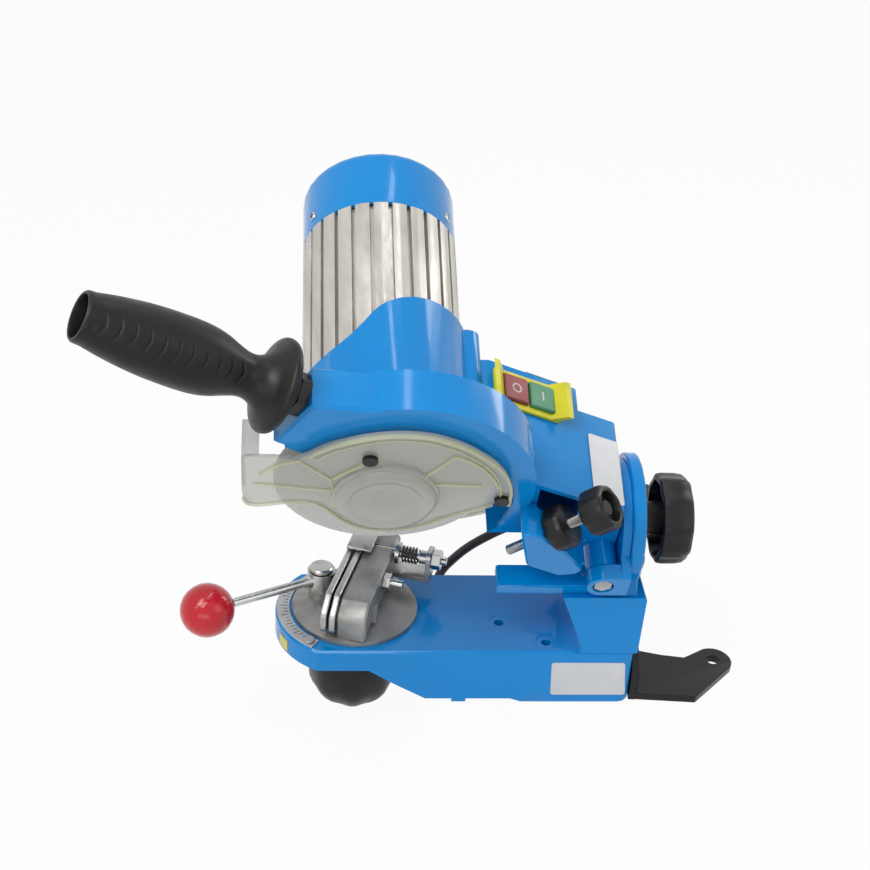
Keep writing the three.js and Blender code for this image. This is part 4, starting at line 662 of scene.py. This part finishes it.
def switch_marks():
    """O and I on the buttons, as thin white inlays."""
    button = 10.5  # from the switch's middle to each button's
    ring = [(3.2 + 0.55 * math.cos(b), 6.02 + 0.12 * math.sin(b)) for b in (2 * math.pi * k / 8 for k in range(9))]
    lathe("mark_stop", ring, SWITCH @ shift(-button, 0, 0), "mark", "red_button", (), 48, None, 60)
    stroke = rounded([(-0.6, -3.6, 0.3), (0.6, -3.6, 0.3), (0.6, 3.6, 0.3), (-0.6, 3.6, 0.3)], 3)
    slab("mark_start", stroke, 5.9, 6.12, SWITCH @ shift(button, 0, 0), "mark", "green_button", (), 0)


def bare_plates():
    """The places of the stickers, left bare, and the vise's scale with its ticks."""
    wall_y = -46
    corners = [(19.5, 8, 2), (73.5, 8, 2), (70.5, 37, 2), (18, 37, 2)]
    slab("side_label", rounded(corners, 5), 0.05, 0.3, shift(0, wall_y, 0) @ UPRIGHT, "label", "base", (), 0.05)
    inner, outer = 57.08, 57.3  # the film on the round nose, from the vise's axis
    turns = [math.radians(201 + k) for k in range(13)]
    band = [(VISE_X + inner * math.cos(a), VISE_Y + inner * math.sin(a)) for a in turns]
    band += [(VISE_X + outer * math.cos(a), VISE_Y + outer * math.sin(a)) for a in reversed(turns)]
    slab("nose_label", band, 31, 40, Matrix.Identity(4), "yellow_label", "base", (), 0)
    scale_r, scale_top = 48.2, 47.34  # the ticks' inner ends, and the scale's face
    first, step, count = 154, 4.1, 19  # the first tick's direction and the spacing, in degrees
    long, short, half_w = 5.2, 3.2, 0.28
    for k in range(count):
        a = math.radians(first + step * k)
        half = (long if k % 3 == 0 else short) / 2
        x, y = math.cos(a), math.sin(a)
        centre = (VISE_X + (scale_r + half) * x, VISE_Y + (scale_r + half) * y, scale_top)
        tick = [(-half, -half_w), (half, -half_w), (half, half_w), (-half, half_w)]
        slab("scale_tick_%02d" % k, tick, -0.02, 0.06, axis_frame(centre, (0, 0, 1), (x, y, 0)), "ink", "base", (), 0)


def depth_thread():
    """The depth stop's thread: rings of a V profile, drawn as one turned body."""
    radius, pitch, low, high = 3.1, 1.25, -44.2, 36
    root, crest = radius - 0.12 * pitch, radius + 0.28 * pitch
    profile = [(0.01, low)]
    h = low
    while h < high:
        profile += [(root, h), (crest, h + pitch * 0.4), (crest, h + pitch * 0.55)]
        h += pitch
    profile += [(radius - 0.2, high), (0.01, high)]
    lathe("depth_thread", profile, STOP, "steel", "depth_stop", (), 32, None, 20)


def knobs():
    """The round knobs: lobes or flutes on the rim, and a recessed end on the depth knob."""
    def lobes(a, r, h):
        """Shallow lobes on the rim of a small knob."""
        count, share, rim = 8, 0.03, 12.5
        return r * (1 + share * math.cos(count * a)) if r > rim else r

    def scallops(a, r, h):
        """Hollows in the vise knob's side, deeper towards its lower end."""
        count, depth, top, run, rim = 8, 1.5, -2, 16, 18
        return r - max(0, min(1, (top - h) / run)) * depth * (1 - math.cos(count * a)) / 2 if r > rim else r

    def flutes(a, r, h):
        """Flutes in the rear knob's rim."""
        count, depth, rim = 10, 1.3, 27
        return r - depth * (1 - math.cos(count * a)) / 2 if r > rim else r

    end = [(0.01, -44), (2.6, -44), (3, -43.4), (3, 22), (11.5, 22), (14, 22.6), (15.2, 24), (15.5, 27), (15.5, 36),
           (15, 38.6), (13.6, 39.8), (12, 40), (10.9, 39.4), (10.5, 38), (10.3, 34), (6, 33.4), (5.6, 36.4), (5, 37),
           (0.01, 37)]
    lathe("depth_knob", end, STOP, "black_plastic", "depth_stop", ["depth_screw"], 96, lobes, 35)
    lock = [(3.5, -7), (11, -7), (13.6, -6.6), (15, -5.2), (15.4, -3), (15.4, 3), (15, 5.2), (13.6, 6.6), (11, 7),
            (3.5, 7), (3.5, -7)]
    lathe("depth_lock", lock, STOP, "black_plastic", "depth_lock", ["depth_lock_knob"], 96, lobes, 35)
    cup = [(7.5, 28.4), (9, 28.7), (10.4, 27.5), (11, 20.2), (28, 20), (30.8, 19.2), (31.8, 17), (32, -8), (31.6, -13),
           (30, -18), (27, -22.6), (23.5, -26.4), (19.5, -28.6), (16, -29), (0.01, -29)]
    lathe("vise_knob", cup, shift(VISE_X, VISE_Y, 0), "black_plastic", "vise_lock", ["vise_lock_knob"], 128, scallops,
          40)
    rear = [(0.01, 105.3), (6.2, 105.3), (6.2, 78.4), (11, 78.4), (11.9, 79.2), (11.9, 105), (25.4, 105), (26, 104),
            (26.6, 89.6), (27.6, 88.2), (30, 88), (31.4, 88.9), (32, 91.5), (32, 101), (31.2, 106.4), (28.8, 109.6),
            (24, 110.8), (0.01, 111)]
    lathe("rear_knob", rear, axis_frame((0, 0, HINGE_Z), (1, 0, 0)), "black_plastic", "tilt_lock", ["tilt_lock_knob"],
          160, flutes, 40)


def far_guard():
    """The second clear guard, with its moulded edge."""
    low = smooth_line([(-99.8, 36.5), (-93, 14), (-87, 3), (-77, -3.6), (-64, -5.6), (-49, -3.2), (-34.5, 3),
                       (-24, 9.6), (-17.1, 17.6), (-18, 34), (-20, 51)], 4)
    near, far = -1.9, -3.9  # the sheet's two faces
    slab("far_sheet", low + [(-42, 56), (-63.5, 58.2)], far, near, FLAT, "clear", "arm", ["rear_clear_guard"], 0.3)
    clear_bar("far_edge", low, 1.8, near, near + 1.6)


def arm():
    """The arm's casting, with the collar's top drawn down in a wave to the left, as seen."""
    wave = smooth_line([(-162, 42), (-150, 45), (-141, 49), (-134, 53), (-129, 57), (-123, 63), (-118, 69),
                        (-113, 74.5), (-107, 79), (-101, 82), (-93, 84.8), (-86, 86.5), (-78, 87.8), (-70, 88.6)], 3)
    outline = wave + [(-70, 100), (-180, 100), (-180, 42)]
    dress("arm_casting", "blue", 1.2, prism("collar_wave", outline, 15, 150, HEAD))


for make in (arm, side_handle, clear_cover, cap_screws, switch_marks, bare_plates, knobs, far_guard, depth_thread):
    make()
for node, (mat, width) in PLAIN.items():
    dress(node, mat, width)


# Floor, light and background
def seen(tree):
    """1 for rays from the camera, reflections and refractions, and 0 for the light that falls on things."""
    path = tree.nodes.new("ShaderNodeLightPath")
    found = path.outputs["Is Camera Ray"]
    for ray in ("Is Glossy Ray", "Is Transmission Ray"):
        either = tree.nodes.new("ShaderNodeMath")
        either.operation = "MAXIMUM"
        tree.links.new(found, either.inputs[0])
        tree.links.new(path.outputs[ray], either.inputs[1])
        found = either.outputs["Value"]
    return found


def floor():
    """Pale paper on two levels: the bench's top, and lower under the nose, which reaches past the bench's edge."""
    size, edge, drop = 3000, -72, -40
    low = [(-size, -size, drop), (edge, -size, drop), (edge, size, drop), (-size, size, drop)]
    top = [(edge, -size, 0), (size, -size, 0), (size, size, 0), (edge, size, 0)]
    data = mesh_of("floor", low + top, [(0, 1, 2, 3), (4, 5, 6, 7), (1, 4, 7, 2)])
    made = bpy.data.objects.new("floor", data)
    scene.collection.objects.link(made)
    made.location.z = -0.3 * MM  # just below the feet
    f = Finish("floor_paper", (238, 238, 238), 0.6)
    f.tint(f.noise(3, 2), (236, 236, 236), (240, 240, 240))
    glow = f.node("ShaderNodeEmission", Strength=1.0)
    share = f.node("ShaderNodeMath", operation="MULTIPLY")
    share.inputs[1].default_value = 0.94  # the rest keeps the object's shadow
    f.link(seen(f.tree), share.inputs[0])
    mix = f.node("ShaderNodeMixShader")
    f.link(share.outputs["Value"], mix.inputs["Fac"])
    f.link(f.shader.outputs["BSDF"], mix.inputs[1])
    f.link(glow.outputs["Emission"], mix.inputs[2])
    f.link(mix.outputs["Shader"], f.tree.nodes["Material Output"].inputs["Surface"])
    data.materials.append(f.mat)


def area(name, place, target, size, power):
    """A flat lamp at a place, in metres, facing a target."""
    light = bpy.data.lights.new(name, "AREA")
    light.shape = "RECTANGLE"
    light.size, light.size_y = size
    light.energy = power
    made = bpy.data.objects.new(name, light)
    scene.collection.objects.link(made)
    z = (Vector(place) - Vector(target)).normalized()
    x = Vector((0, 0, 1)).cross(z).normalized()
    made.matrix_world = Matrix.Translation(place) @ Matrix((x, z.cross(x), z)).transposed().to_4x4()


def surroundings():
    """A soft grey-white world that looks white, three lamps, and three strips for the highlights."""
    world = bpy.data.worlds.new("studio")
    scene.world = world
    world.use_nodes = True
    tree = world.node_tree
    soft = tree.nodes["Background"]
    soft.inputs["Color"].default_value = (0.97, 0.98, 1, 1)
    soft.inputs["Strength"].default_value = 0.36
    white = tree.nodes.new("ShaderNodeBackground")
    white.inputs["Color"].default_value = (1, 1, 1, 1)
    white.inputs["Strength"].default_value = 1
    mix = tree.nodes.new("ShaderNodeMixShader")
    tree.links.new(seen(tree), mix.inputs["Fac"])
    tree.links.new(soft.outputs["Background"], mix.inputs[1])
    tree.links.new(white.outputs["Background"], mix.inputs[2])
    tree.links.new(mix.outputs["Shader"], tree.nodes["World Output"].inputs["Surface"])
    middle, motor = (-0.08, 0.02, 0.14), (-0.107, 0.03, 0.27)
    area("key", (-0.7, -0.6, 1.5), middle, (0.9, 0.9), 13)
    area("fill", (1.1, -0.9, 0.9), middle, (0.9, 0.9), 2.5)
    area("front", (-0.5, -1.5, 0.35), middle, (1.2, 0.5), 3)
    area("strip_top", (0.02, 0.28, 1.45), motor, (0.09, 0.8), 1.5)
    area("strip_right", (0.86, 0.57, 0.74), motor, (0.14, 0.6), 2)
    area("strip_left", (-0.9, -0.5, 1.0), middle, (0.06, 0.8), 1.6)


floor()
surroundings()
scene.view_settings.view_transform = "Standard"
